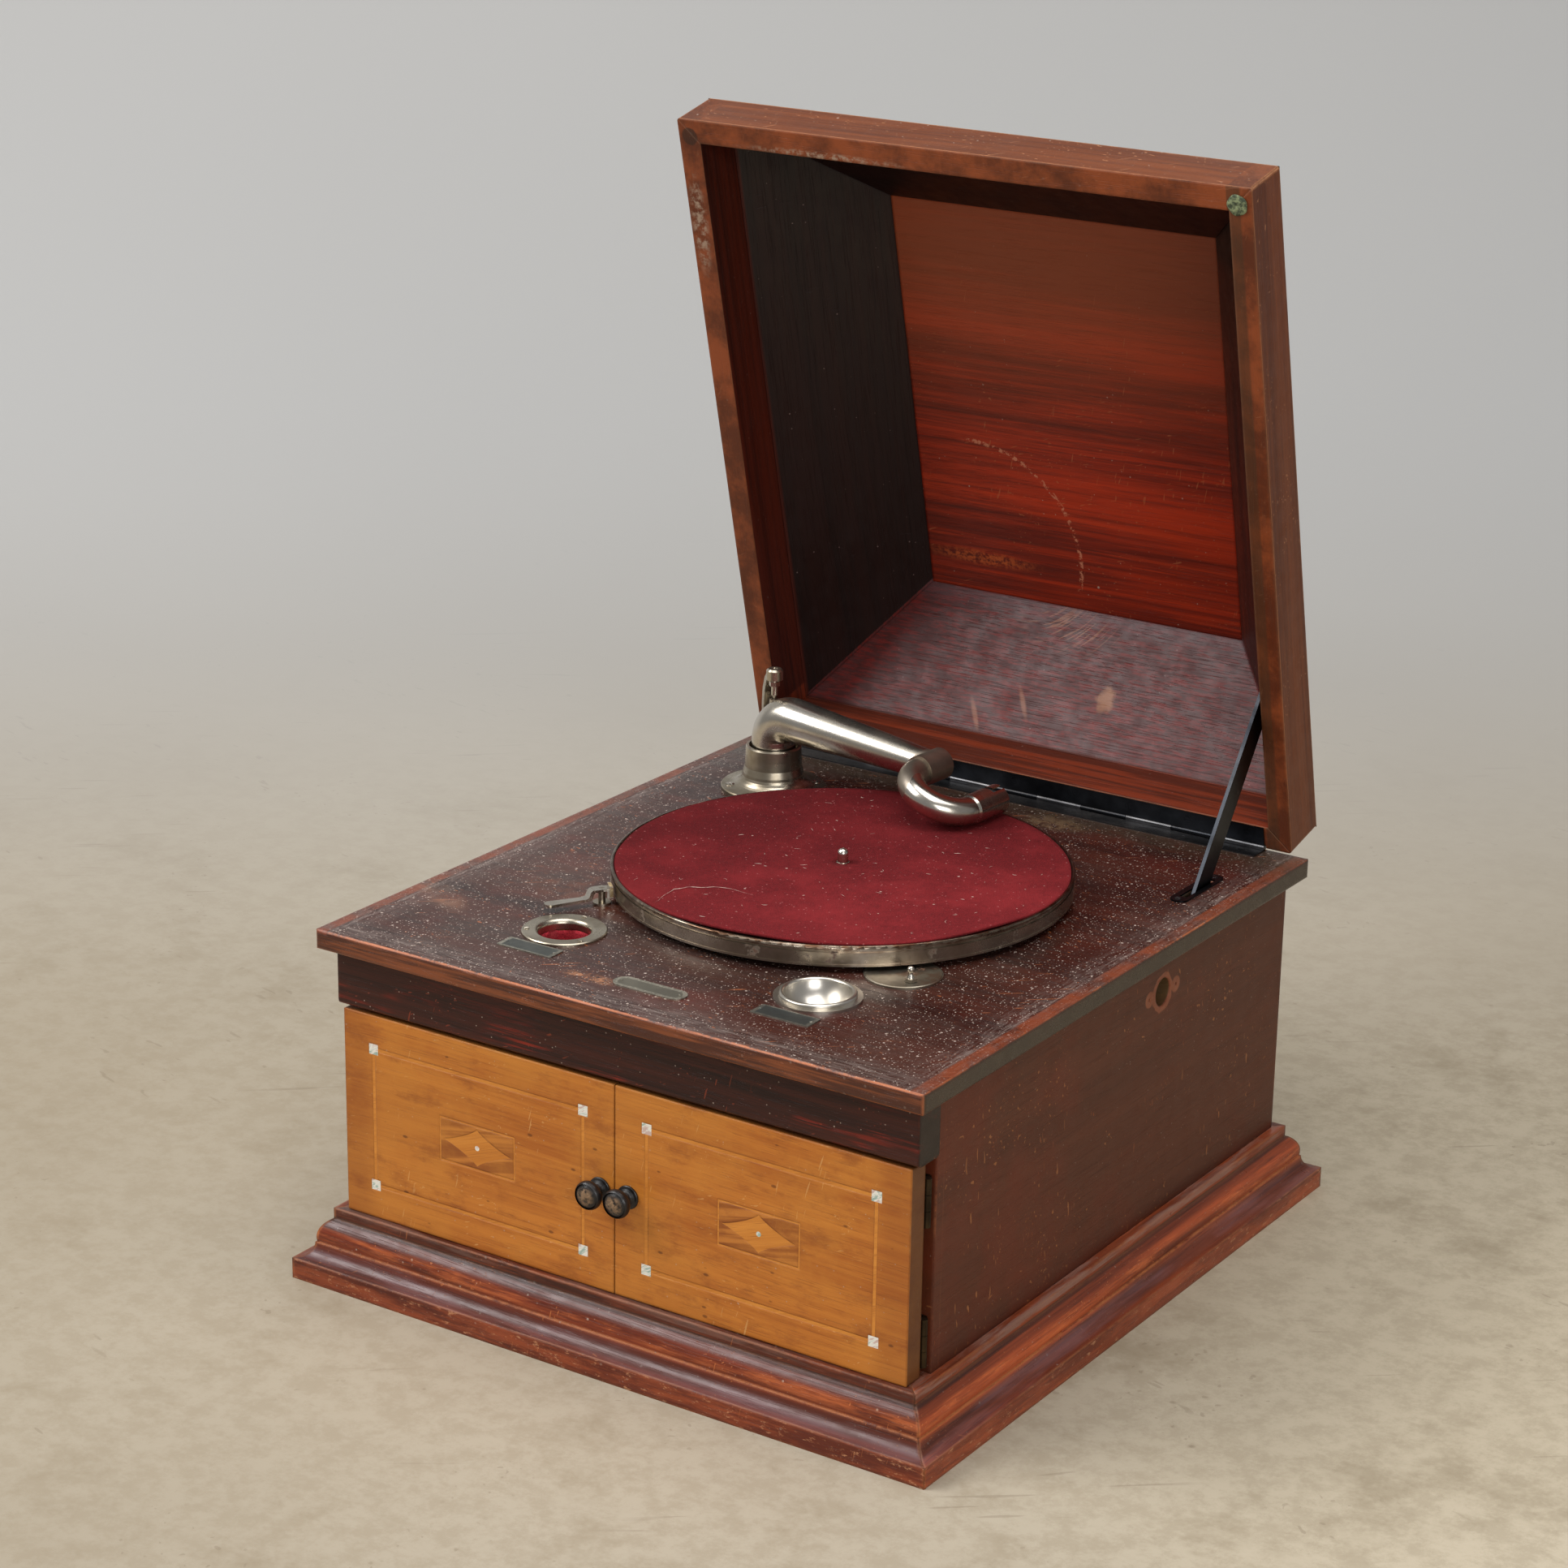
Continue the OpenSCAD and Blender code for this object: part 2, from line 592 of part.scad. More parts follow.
// Fittings on the deck
module needle_cup() color([0.60, 0.58, 0.54]) on_deck(cup_at) rotate_extrude() difference() {
    union() {
        square([cup_r, 1.4]);
        square([bowl_r + 3.6, 2.6]);
        translate([bowl_r + 1.9, 2.6]) circle(1.7);
        translate([0, -bowl_depth - 0.8]) square([bowl_r + 0.8, bowl_depth + 0.9]);
    }
    intersection() {
        translate([0, bowl_round - bowl_depth]) circle(bowl_round);
        translate([0, -20]) square([40, 40]);
    }
}
module needle_ring() color([0.55, 0.53, 0.50]) on_deck(ring_at) rotate_extrude() {
    polygon(concat([[ring_r, 0], [ring_r, 1], [ring_r - 0.6, 1.6]], arc([ring_throat_r + 2.8, -1.6], 3.2, 90, 180, 8),
        [[ring_throat_r - 0.4, -5], [ring_throat_r + 0.5, -5], [ring_throat_r + 0.5, 0]]));
}
module needle_well() color([0.55, 0.12, 0.14]) on_deck(ring_at, -well_depth) difference() {
    cylinder(h = well_depth, r = ring_throat_r + 2);
    translate([0, 0, 1.2]) cylinder(h = well_depth, r = ring_throat_r + 0.8);
}
module deck_plates() color([0.42, 0.45, 0.50]) {
    for (s = [-1, 1]) on_deck([s * label_at[0], label_at[1]]) linear_extrude(0.6) rounded(42, 15, 1);
    on_deck(plaque_at) linear_extrude(0.8) {
        square([37.5, 15.5], center = true);
        for (s = [-1, 1]) translate([s * 18.75, 0]) circle(7.75);
    }
}
module speed_dial() color([0.50, 0.50, 0.50]) difference() {
    on_deck(dial_at) {
        cylinder(h = 1.2, r = dial_r);
        translate([0, 0, 1.2]) cylinder(h = 0.4, r1 = dial_r - 0.4, r2 = dial_r - 0.9);
    }
    on_deck(speed_at, -1) cylinder(h = 5, r = 2.5 + run);
}
module brake_post() color([0.50, 0.48, 0.45]) on_deck(brake_at) {
    translate([0, 0, -8]) cylinder(h = 9, r = 2);
    cylinder(h = 1.6, r = 6);
    translate([0, 0, 0.5]) cylinder(h = 8.6, r = 2.4);
    translate([0, 0, 8]) cylinder(h = 3, r = 1.6);
}
module brake_lever() color([0.55, 0.50, 0.42]) on_deck(brake_at) difference() {
    union() {
        rotate([0, 0, 59]) {
            translate([0, 0, 3.6]) linear_extrude(1.8)
                polygon(concat([[-10.5, 2.7], [-26, 3.5]], arc([-35.7, 0], 4.3, 105, 255, 10), [[-26, -3.5], [-10.5, -2.7]]));
            rotate([90, 0, 0]) linear_extrude(6.6, center = true)
                polygon([[-13, 3.7], [-9.8, 3.7], [-8.2, 4.4], [-6.6, 8.2], [-5.2, 9.5], [-5.2, 10.9], [-7.4, 10.9], [-8.8, 9.8],
                         [-10.4, 6], [-13, 5.3]]);
            board([-6.4, 2], [-4, 4], [9.4, 11]);
        }
        rotate([0, 0, 46.1]) {
            board([-1, 4.2], [-4, 4], [9.5, 10.9]);
            board([2.8, 4.3], [-4.3, 4.3], [4.6, 10.8]);
            board([4.1, 6.7], [-4.7, 4.7], [5, 12.8]);
        }
    }
    cylinder(h = 20, r = 1.6 + run);
}

// Tonearm base with its bracket
module tonearm_base() color([0.72, 0.69, 0.62]) on_deck(arm_at) {
    rotate_extrude() polygon(concat([[arm_r - tube_t, 0], [flange_r, 0], [flange_r, 2.6], [flange_r - 0.8, 3.4]],
        arc([31.5, 13.3], 9.9, 270, 183, 8), [[20.4, 17.5], [19.9, 24], [19.6, 31.4], [19.1, bell_top], [mouth_r, bell_top],
        [mouth_r, 26], [arm_r + seam / 6 + run, 26], [arm_r + seam / 6 + run, 8], [arm_r - tube_t, 8]]));
    rotate([0, 0, strap_turn]) difference() {
        rotate([90, 0, 0]) linear_extrude(strap_w, center = true)
            polygon([[18.6, 4], [26, 4], [24.4, 12], [24.4, 56], [22.4, 68], [16.8, 77.4], [11, 82], [5, 86], [0, 86],
                     [0, boss_low + 2], [6, boss_low + 1.6], [11.6, 76], [16.6, 66], [18.6, 54]]);
        translate([0, 0, 40]) cylinder(h = 60, r = 3);
    }
    translate([0, 0, boss_low]) difference() {
        union() {
            cylinder(h = boss_high - boss_low - boss_bevel, r = boss_r);
            translate([0, 0, boss_high - boss_low - boss_bevel]) cylinder(h = boss_bevel, r1 = boss_r, r2 = boss_r - boss_bevel);
        }
        translate([0, 0, -eps]) cylinder(h = 20, r = screw_r);
    }
}
module pivot_screw() color([0.75, 0.74, 0.70]) on_deck(arm_at) {
    translate([0, 0, 69]) cylinder(h = boss_high - 69.4, r = screw_r);
    translate([0, 0, 66.3]) cylinder(h = 2.7, r1 = 0.4, r2 = screw_r);
    translate([0, 0, boss_low - 4.6]) rotate([0, 0, 20]) cylinder(h = 3.2, r = 3.9, $fn = 6);
}

// Tonearm, in the arm's own frame: the pivot is the origin and the arm runs along +X
module arm_frame() on_deck(arm_at) rotate([0, 0, arm_turn]) children();
module cross_frame() arm_frame() translate([arm_len, 0, cross_z]) children();
module arm_solid(r, r_tip, low) {
    translate([0, 0, low]) cylinder(h = bend_z - low + seam, r = r + seam / 6);
    translate([bend_r, 0, bend_z]) rotate([90, 0, 0]) rotate([0, 0, 90 - droop])
        rotate_extrude(angle = 90 + droop) translate([bend_r, 0]) circle(r);
    translate([bend_r, 0, bend_z]) rotate([0, droop, 0]) translate([-seam, 0, bend_r]) rotate([0, 90, 0])
        cylinder(h = taper_len + seam, r1 = r + seam / 6, r2 = r_tip);
}
module tonearm() color([0.78, 0.76, 0.72]) arm_frame() difference() {
    union() {
        arm_solid(arm_r, arm_tip_r, arm_low);
        translate([0, 0, 60]) cylinder(h = 6, r = 3.4);
        translate([arm_len, 0, cross_z]) rotate([-90, 0, 0]) rotate_extrude() intersection() {
            translate([0, -cross_half]) square([cross_r, 2 * cross_half]);
            union() {
                translate([0, -cross_half]) square([cross_r, 2 * cross_half - 5.34]);
                translate([0, cross_half - cap_r]) circle(cap_r);
            }
        }
    }
    arm_solid(arm_r - tube_t, arm_tip_r - tube_t, arm_low - eps);
    translate([arm_len, 0, cross_z]) rotate([90, 0, 0])
        translate([0, 0, -cross_half + 6]) cylinder(h = 2 * cross_half, r = neck_r + run);
}
module neck_solid(r) {
    translate([0, -cross_half - 0.6, 0]) rotate([-90, 0, 0]) cylinder(h = cross_half + 6, r = r);
    translate([neck_gap / 2, -cross_half - 0.6, 0]) rotate([0, 0, 180]) rotate_extrude(angle = 180)
        translate([neck_gap / 2, 0]) circle(r);
    translate([neck_gap, -cross_half - 0.6, 0]) rotate([-90, 0, 0]) cylinder(h = 2 * cross_half + 0.6, r = r);
}
module gooseneck() color([0.78, 0.76, 0.72]) cross_frame() rotate([0, neck_drop, 0]) difference() {
    union() {
        neck_solid(neck_r);
        translate([neck_gap, cross_half - sleeve_len, 0]) rotate([-90, 0, 0]) cylinder(h = sleeve_len, r = neck_low);
        translate([neck_gap, cross_half - sleeve_len - 3, 0]) rotate([-90, 0, 0]) cylinder(h = 3, r1 = neck_r - 0.6, r2 = neck_low);
    }
    difference() {
        neck_solid(neck_r - tube_t);
        translate([0, 6.5, 0]) rotate([-90, 0, 0]) cylinder(h = 2, r = neck_r);
    }
    translate([neck_gap, cross_half - socket_depth, 0]) rotate([-90, 0, 0]) cylinder(h = socket_depth + eps, r = socket_r);
    translate([neck_gap, cross_half, neck_r]) {
        board([-1.7, 1.7], [-12, eps], [-4, 4]);
        board([-8, 1.7], [-12, -8.6], [-6, 4]);
    }
}

// Turntable
module platter() color([0.72, 0.70, 0.66]) on_deck(spindle_at) rotate_extrude() {
    translate([shoulder_r, web_top - web_t]) square([table_r - band_t / 2 - shoulder_r, web_t]);
    translate([shaft_r, 7.5]) square([hub_r - shaft_r, web_top - 7.5 - web_t / 2]);
    translate([table_r - 0.4 - band_t, rim_low]) square([band_t, 9]);
    translate([table_r - band_t - 0.9, rim_low]) square([1.2, web_top - rim_low]);
    translate([table_r - band_t, rim_low]) square([band_t, 1.4]);
    translate([table_r - lip_r, rim_top - lip_r]) circle(lip_r);
    translate([table_r - lip_r - 0.4, rim_top - lip_r - 2]) square([lip_r, 2]);
}
module platter_felt() color([0.60, 0.08, 0.12]) on_deck(spindle_at, web_top) rotate_extrude()
    translate([shoulder_r, 0]) square([felt_r - shoulder_r, felt_t]);
module spindle() color([0.70, 0.68, 0.64]) {
    on_deck(spindle_at) rotate_extrude() intersection() {
        square([pin_r, felt_h + pin_rise]);
        union() {
            square([pin_r, felt_h + pin_rise - pin_r]);
            translate([0, felt_h + pin_rise - pin_r]) circle(pin_r);
        }
    }
    on_deck(spindle_at, web_top - web_t - 1) cylinder(h = web_t + felt_t + 1, r = shoulder_r);
    translate([table_x, table_y, wheel_z - 1]) cylinder(h = deck_top + web_top - web_t - wheel_z + 1, r = shaft_r);
    translate([table_x, table_y, foot_z]) cylinder(h = wheel_z - foot_z, r = 2.5);
    translate([table_x, table_y, wheel_z - 1]) rotate([0, 0, atan2(middle_at[1] - table_y, middle_at[0] - table_x)])
        linear_extrude(5) polygon(gear(pinion_teeth));
    translate([table_x, table_y, worm_z - worm_wheel_t / 2]) rotate([0, 0, -90 - worm_wheel_twist / 2])
        linear_extrude(worm_wheel_t, twist = -worm_wheel_twist, slices = 6) polygon(gear(worm_n, 0.7));
}

// Motor train
module intermediate_gear() color([0.70, 0.56, 0.30]) translate([middle_at[0], middle_at[1], 0]) {
    translate([0, 0, foot_z]) cylinder(h = plate_z + plate_t - foot_z, r = 2.5);
    translate([0, 0, wheel_z]) rotate([0, 0, atan2(table_y - middle_at[1], table_x - middle_at[0]) + 180 / middle_teeth])
        linear_extrude(3) difference() {
            polygon(gear(middle_teeth));
            for (a = [0:72:288]) rotate([0, 0, a]) translate([17, 0]) circle(6);
        }
    translate([0, 0, wheel_z + 3]) cylinder(h = 2, r = 5);
    translate([0, 0, wheel_z + 5]) rotate([0, 0, atan2(crank_y - middle_at[1], barrel_at[0] - middle_at[0])])
        linear_extrude(6) polygon(gear(pinion_teeth));
}
module spring_barrel() color([0.55, 0.54, 0.52]) translate([barrel_at[0], barrel_at[1], barrel_z]) difference() {
    union() {
        cylinder(h = barrel_h, r = drum_r);
        rotate([0, 0, atan2(middle_at[1] - crank_y, middle_at[0] - barrel_at[0]) + 180 / barrel_teeth])
            linear_extrude(5) polygon(gear(barrel_teeth));
    }
    translate([0, 0, 2]) cylinder(h = barrel_h - 4, r = drum_r - 2);
    translate([0, 0, -eps]) cylinder(h = barrel_h + 2 * eps, r = arbor_r + run);
}
module barrel_arbor() color([0.60, 0.60, 0.60]) translate([barrel_at[0], barrel_at[1], 0]) {
    translate([0, 0, foot_z]) cylinder(h = plate_z + plate_t + 5 - foot_z, r = arbor_r);
    translate([0, 0, barrel_z - 2.5]) cylinder(h = 2.2, r = 7);
    translate([0, 0, barrel_z + barrel_h + 0.3]) cylinder(h = crank_z - bevel_n[1] / 2 - barrel_z - barrel_h - 0.3, r = 11);
    translate([0, 0, crank_z - bevel_n[1] / 2]) linear_extrude(bevel_face * bevel_n[1] / 2 / cone_len, scale = bevel_shrink)
        polygon(gear(bevel_n[0], 0.7));
    translate([0, 0, plate_z + plate_t + 0.8]) linear_extrude(3) polygon(ratchet(18, 9.6, 11));
}
module ratchet_click() color([0.60, 0.60, 0.60]) translate([barrel_at[0] - 18, barrel_at[1] + 8, plate_z + plate_t])
    difference() {
        union() {
            translate([0, 0, 0.6]) cylinder(h = 3.5, r = 3.6);
            rotate([0, 0, click_turn]) translate([0, -1.5, 0.8]) cube([12.5, 3, 3]);
            rotate([0, 0, click_turn]) translate([12.5, 0, 0.8]) linear_extrude(3) polygon([[0, -1.5], [2.4, -1.5], [0, 1.5]]);
        }
        cylinder(h = 10, r = 1.5 + run);
    }
module winding_shaft() color([0.50, 0.50, 0.50]) translate([0, crank_y, crank_z]) rotate([0, 90, 0]) difference() {
    union() {
        translate([0, 0, barrel_at[0] + bevel_n[0] / 2]) mirror([0, 0, 1]) rotate([0, 0, 180 / bevel_n[1]])
            linear_extrude(bevel_face * bevel_n[0] / 2 / cone_len, scale = bevel_shrink) polygon(gear(bevel_n[1], 0.7));
        translate([0, 0, barrel_at[0] + bevel_n[0] / 2]) cylinder(h = shaft_end - barrel_at[0] - bevel_n[0] / 2, r = 4);
        translate([0, 0, barrel_at[0] + bevel_n[0] / 2]) cylinder(h = 5, r = 6.5);
        translate([0, 0, 91]) cylinder(h = 4, r = 7);
        translate([0, 0, shaft_end - 20]) cylinder(h = 20, r = 6.5);
    }
    translate([0, 0, shaft_end - 16]) cylinder(h = 20, r = 4);
}
module governor_shaft() color([0.65, 0.65, 0.65]) translate([0, worm_y, worm_z]) rotate([0, 90, 0]) {
    translate([0, 0, -33]) cylinder(h = 124, r = 2);
    translate([0, 0, table_x - worm_len / 2]) rotate([0, 0, 45 - 180 * worm_len / worm_lead])
        linear_extrude(worm_len, twist = -360 * worm_len / worm_lead, slices = 16) polygon(worm_outline());
}
function worm_outline() = [
    for (k = [0:worm_starts - 1], q = [[-0.33, -1.2], [-0.14, 0.6], [0.14, 0.6], [0.33, -1.2]])
        let (a = 360 * (k + q[0]) / worm_starts)
            (worm_r + q[1]) * [cos(a), sin(a)]];
module governor_weights() color([0.62, 0.52, 0.30]) translate([0, worm_y, worm_z]) rotate([0, 90, 0]) {
    lean = atan2(ball_out - 6, 19);
    difference() {
        union() {
            translate([0, 0, disc_x]) cylinder(h = 2, r = disc_dia / 2);
            translate([0, 0, disc_x - 4]) cylinder(h = 4, r = 5.5);
            translate([0, 0, 23]) cylinder(h = 6, r = 5.5);
        }
        translate([0, 0, 22]) cylinder(h = disc_x - 17, r = 2 + run);
    }
    for (a = [0, 120, 240]) rotate([0, 0, a]) {
        translate([4.6, -2.5, 24]) cube([1.6, 5, 5]);
        translate([4.6, -2.5, disc_x - 4]) cube([1.6, 5, 3.8]);
        translate([5.6, -2, 28.4]) rotate([0, lean, 0]) cube([0.7, 4, 20]);
        translate([5.6, -2, disc_x - 3.4]) mirror([0, 0, 1]) rotate([0, lean, 0]) cube([0.7, 4, 19]);
        translate([ball_out, 0, 47]) sphere(ball_r);
    }
}

// Motor frame
module plate_shape() translate(plate_mid) rounded(plate_size[0], plate_size[1], 10);
module motor_top_plate() color([0.40, 0.40, 0.42]) {
    translate([0, 0, plate_z]) linear_extrude(plate_t) difference() {
        plate_shape();
        translate(spindle_at) circle(shaft_r + run);
        translate(middle_at) circle(2.5 + run);
        translate(barrel_at) circle(arbor_r + run);
        for (p = bolt_at) translate(p) circle(bolt_r);
    }
    translate([barrel_at[0] - 18, barrel_at[1] + 8, plate_z + plate_t]) cylinder(h = 4.4, r = 1.5);
    for (x = [84, 112]) difference() {
        board([x, x + 5], [crank_y - 8, crank_y + 8], [crank_z - 9, plate_z]);
        translate([x - eps, crank_y, crank_z]) rotate([0, 90, 0]) cylinder(h = 5 + 2 * eps, r = 4 + run);
    }
}
module motor_bottom_plate() color([0.40, 0.40, 0.42]) {
    translate([0, 0, foot_z]) linear_extrude(plate_t) difference() {
        plate_shape();
        translate(spindle_at) circle(2.5 + run);
        translate(middle_at) circle(2.5 + run);
        translate(barrel_at) circle(arbor_r + run);
    }
    for (x = [-32, 84]) difference() {
        board([x, x + 5], [worm_y - 6, worm_y + 6], [floor_z, worm_z + 6]);
        translate([x - eps, worm_y, worm_z]) rotate([0, 90, 0]) cylinder(h = 5 + 2 * eps, r = 2 + run);
    }
}
module motor_pillars() color([0.62, 0.60, 0.56])
    for (p = pillar_at) translate([p[0], p[1], floor_z]) cylinder(h = plate_z - floor_z, r = 4.5);
module motor_bolts() color([0.62, 0.60, 0.56]) for (p = bolt_at) translate([p[0], p[1], 0]) {
    translate([0, 0, plate_z - 6]) cylinder(h = deck_top + 2 - plate_z + 6, r = bolt_r);
    translate([0, 0, deck_top]) cylinder(h = 2.6, r = 5);
    translate([0, 0, plate_z - 4]) cylinder(h = 4, r = 4.6, $fn = 6);
}
module motor_bushes() color([0.10, 0.10, 0.10]) for (p = bolt_at) translate([p[0], p[1], plate_z + plate_t])
    linear_extrude(deck_under - plate_z - plate_t) difference() {
        circle(bush_r);
        circle(bolt_r);
    }

// Speed lever: a knob on the deck turns an arm whose pad bears on the governor's disc
module speed_lever() color([0.66, 0.64, 0.58]) {
    pad = [disc_x + 2.3, worm_y - 5, 191];
    reach = [pad[0] + 6 - speed_at[0], pad[1] - speed_at[1]];
    on_deck(speed_at) {
        translate([0, 0, 188 - deck_top]) cylinder(h = deck_top - 188 + 3, r = 2.5);
        translate([0, 0, 1.9]) rotate([0, 0, 12]) cylinder(h = 2, r = 4.4, $fn = 6);
        translate([0, 0, 3.4]) cylinder(h = 3, r1 = 2.6, r2 = 1.3);
        translate([0, 0, 5]) cylinder(h = 4, r = 1.2);
        translate([0, 0, 9.3]) sphere(2.3);
    }
    translate([speed_at[0], speed_at[1], 188]) cylinder(h = 6, r = 5.5);
    translate([speed_at[0], speed_at[1], 189.5]) rotate([0, 0, atan2(reach[1], reach[0])])
        translate([0, -3.5, 0]) cube([norm(reach), 7, 3]);
    translate(pad) rotate([0, 90, 0]) cylinder(h = 6, r = 3);
}

// Horn
module horn_elbow() color([0.30, 0.30, 0.31]) difference() {
    union() {
        translate([arm_at[0], arm_at[1], deck_under - 3]) cylinder(h = 3, r = 34);
        elbow_solid(duct_r + 2.5, throat_r + horn_wall);
    }
    elbow_solid(duct_r, throat_r, eps);
}
module elbow_solid(r_top, r, over = 0) {
    translate([arm_at[0], arm_at[1], throat_z + elbow_bend])
        cylinder(h = deck_under - throat_z - elbow_bend, r1 = r, r2 = r_top);
    translate([arm_at[0], arm_at[1], deck_under - over]) cylinder(h = 2 * over, r = r_top);
    translate([arm_at[0], arm_at[1] - elbow_bend, throat_z + elbow_bend]) rotate([90, 0, 90]) rotate([0, 0, 270])
        rotate_extrude(angle = 90) translate([elbow_bend, 0]) circle(r);
    translate([arm_at[0], arm_at[1] - elbow_bend, throat_z]) rotate([90, 0, 0]) cylinder(h = over, r = r);
}
module horn() color([0.24, 0.22, 0.20]) {
    rings = concat([for (i = [0:horn_rings]) horn_ring(i / horn_rings, horn_wall)], [horn_ring(1, 0)],
                   [for (i = [1:horn_rings]) horn_ring(1 - i / horn_rings, 0)]);
    n = horn_sides;
    m = len(rings);
    polyhedron(points = [for (r = rings, q = r) q], faces = [
        for (i = [0:m - 1], k = [0:n - 1], half = [0, 1])
            let (a = i * n + k, b = i * n + (k + 1) % n, c = (i + 1) % m * n + k, d = (i + 1) % m * n + (k + 1) % n)
                half == 0 ? [a, c, b] : [b, c, d]]);
}
module horn_mouth_board() color([0.20, 0.12, 0.09]) difference() {
    board([-side_in, side_in], [-side_front, board_t - side_front], [9, deck_under]);
    translate([0, board_t - side_front + eps, 0]) rotate([90, 0, 0]) linear_extrude(board_t + 2 * eps)
        polygon(horn_section(1, 0));
}

plinth_front_back();
plinth_sides();
bottom_board();
left_side();
right_side();
back_panel();
frieze_rail();
deck();
horn_mouth_board();
horn();
horn_elbow();
hinge_deck_leaf();
stay_plate();
needle_cup();
needle_ring();
needle_well();
deck_plates();
speed_dial();
tonearm_base();
pivot_screw();
motor_top_plate();
motor_bottom_plate();
motor_pillars();
motor_bolts();
motor_bushes();
door_hinge_frames();
brake_post();
lid_rim_sides();
lid_rim_ends();
lid_slopes_sides();
lid_slopes_ends();
lid_top();
hinge_lid_leaf();
lid_buffer();
stay_stud();
lid_stay();
left_door();
left_door_lines();
left_door_pearls();
left_knob();
left_door_hinges();
right_door();
right_door_lines();
right_door_pearls();
right_knob();
right_door_hinges();
platter();
platter_felt();
spindle();
intermediate_gear();
spring_barrel();
barrel_arbor();
ratchet_click();
winding_shaft();
governor_shaft();
governor_weights();
speed_lever();
brake_lever();
tonearm();
gooseneck();
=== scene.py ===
# %% [markdown]
# # A table gramophone with its lid up
#
# A machine like this is a wooden case with a spring motor under the deck, a
# horn behind the doors, and a tonearm that leads the sound to it. The shapes
# that move come from the CAD frame. This script gives them their looks, adds
# what is soft or too small for the CAD, and lights the scene. Lengths are in
# millimetres until `piece` turns them into metres; materials read metres.

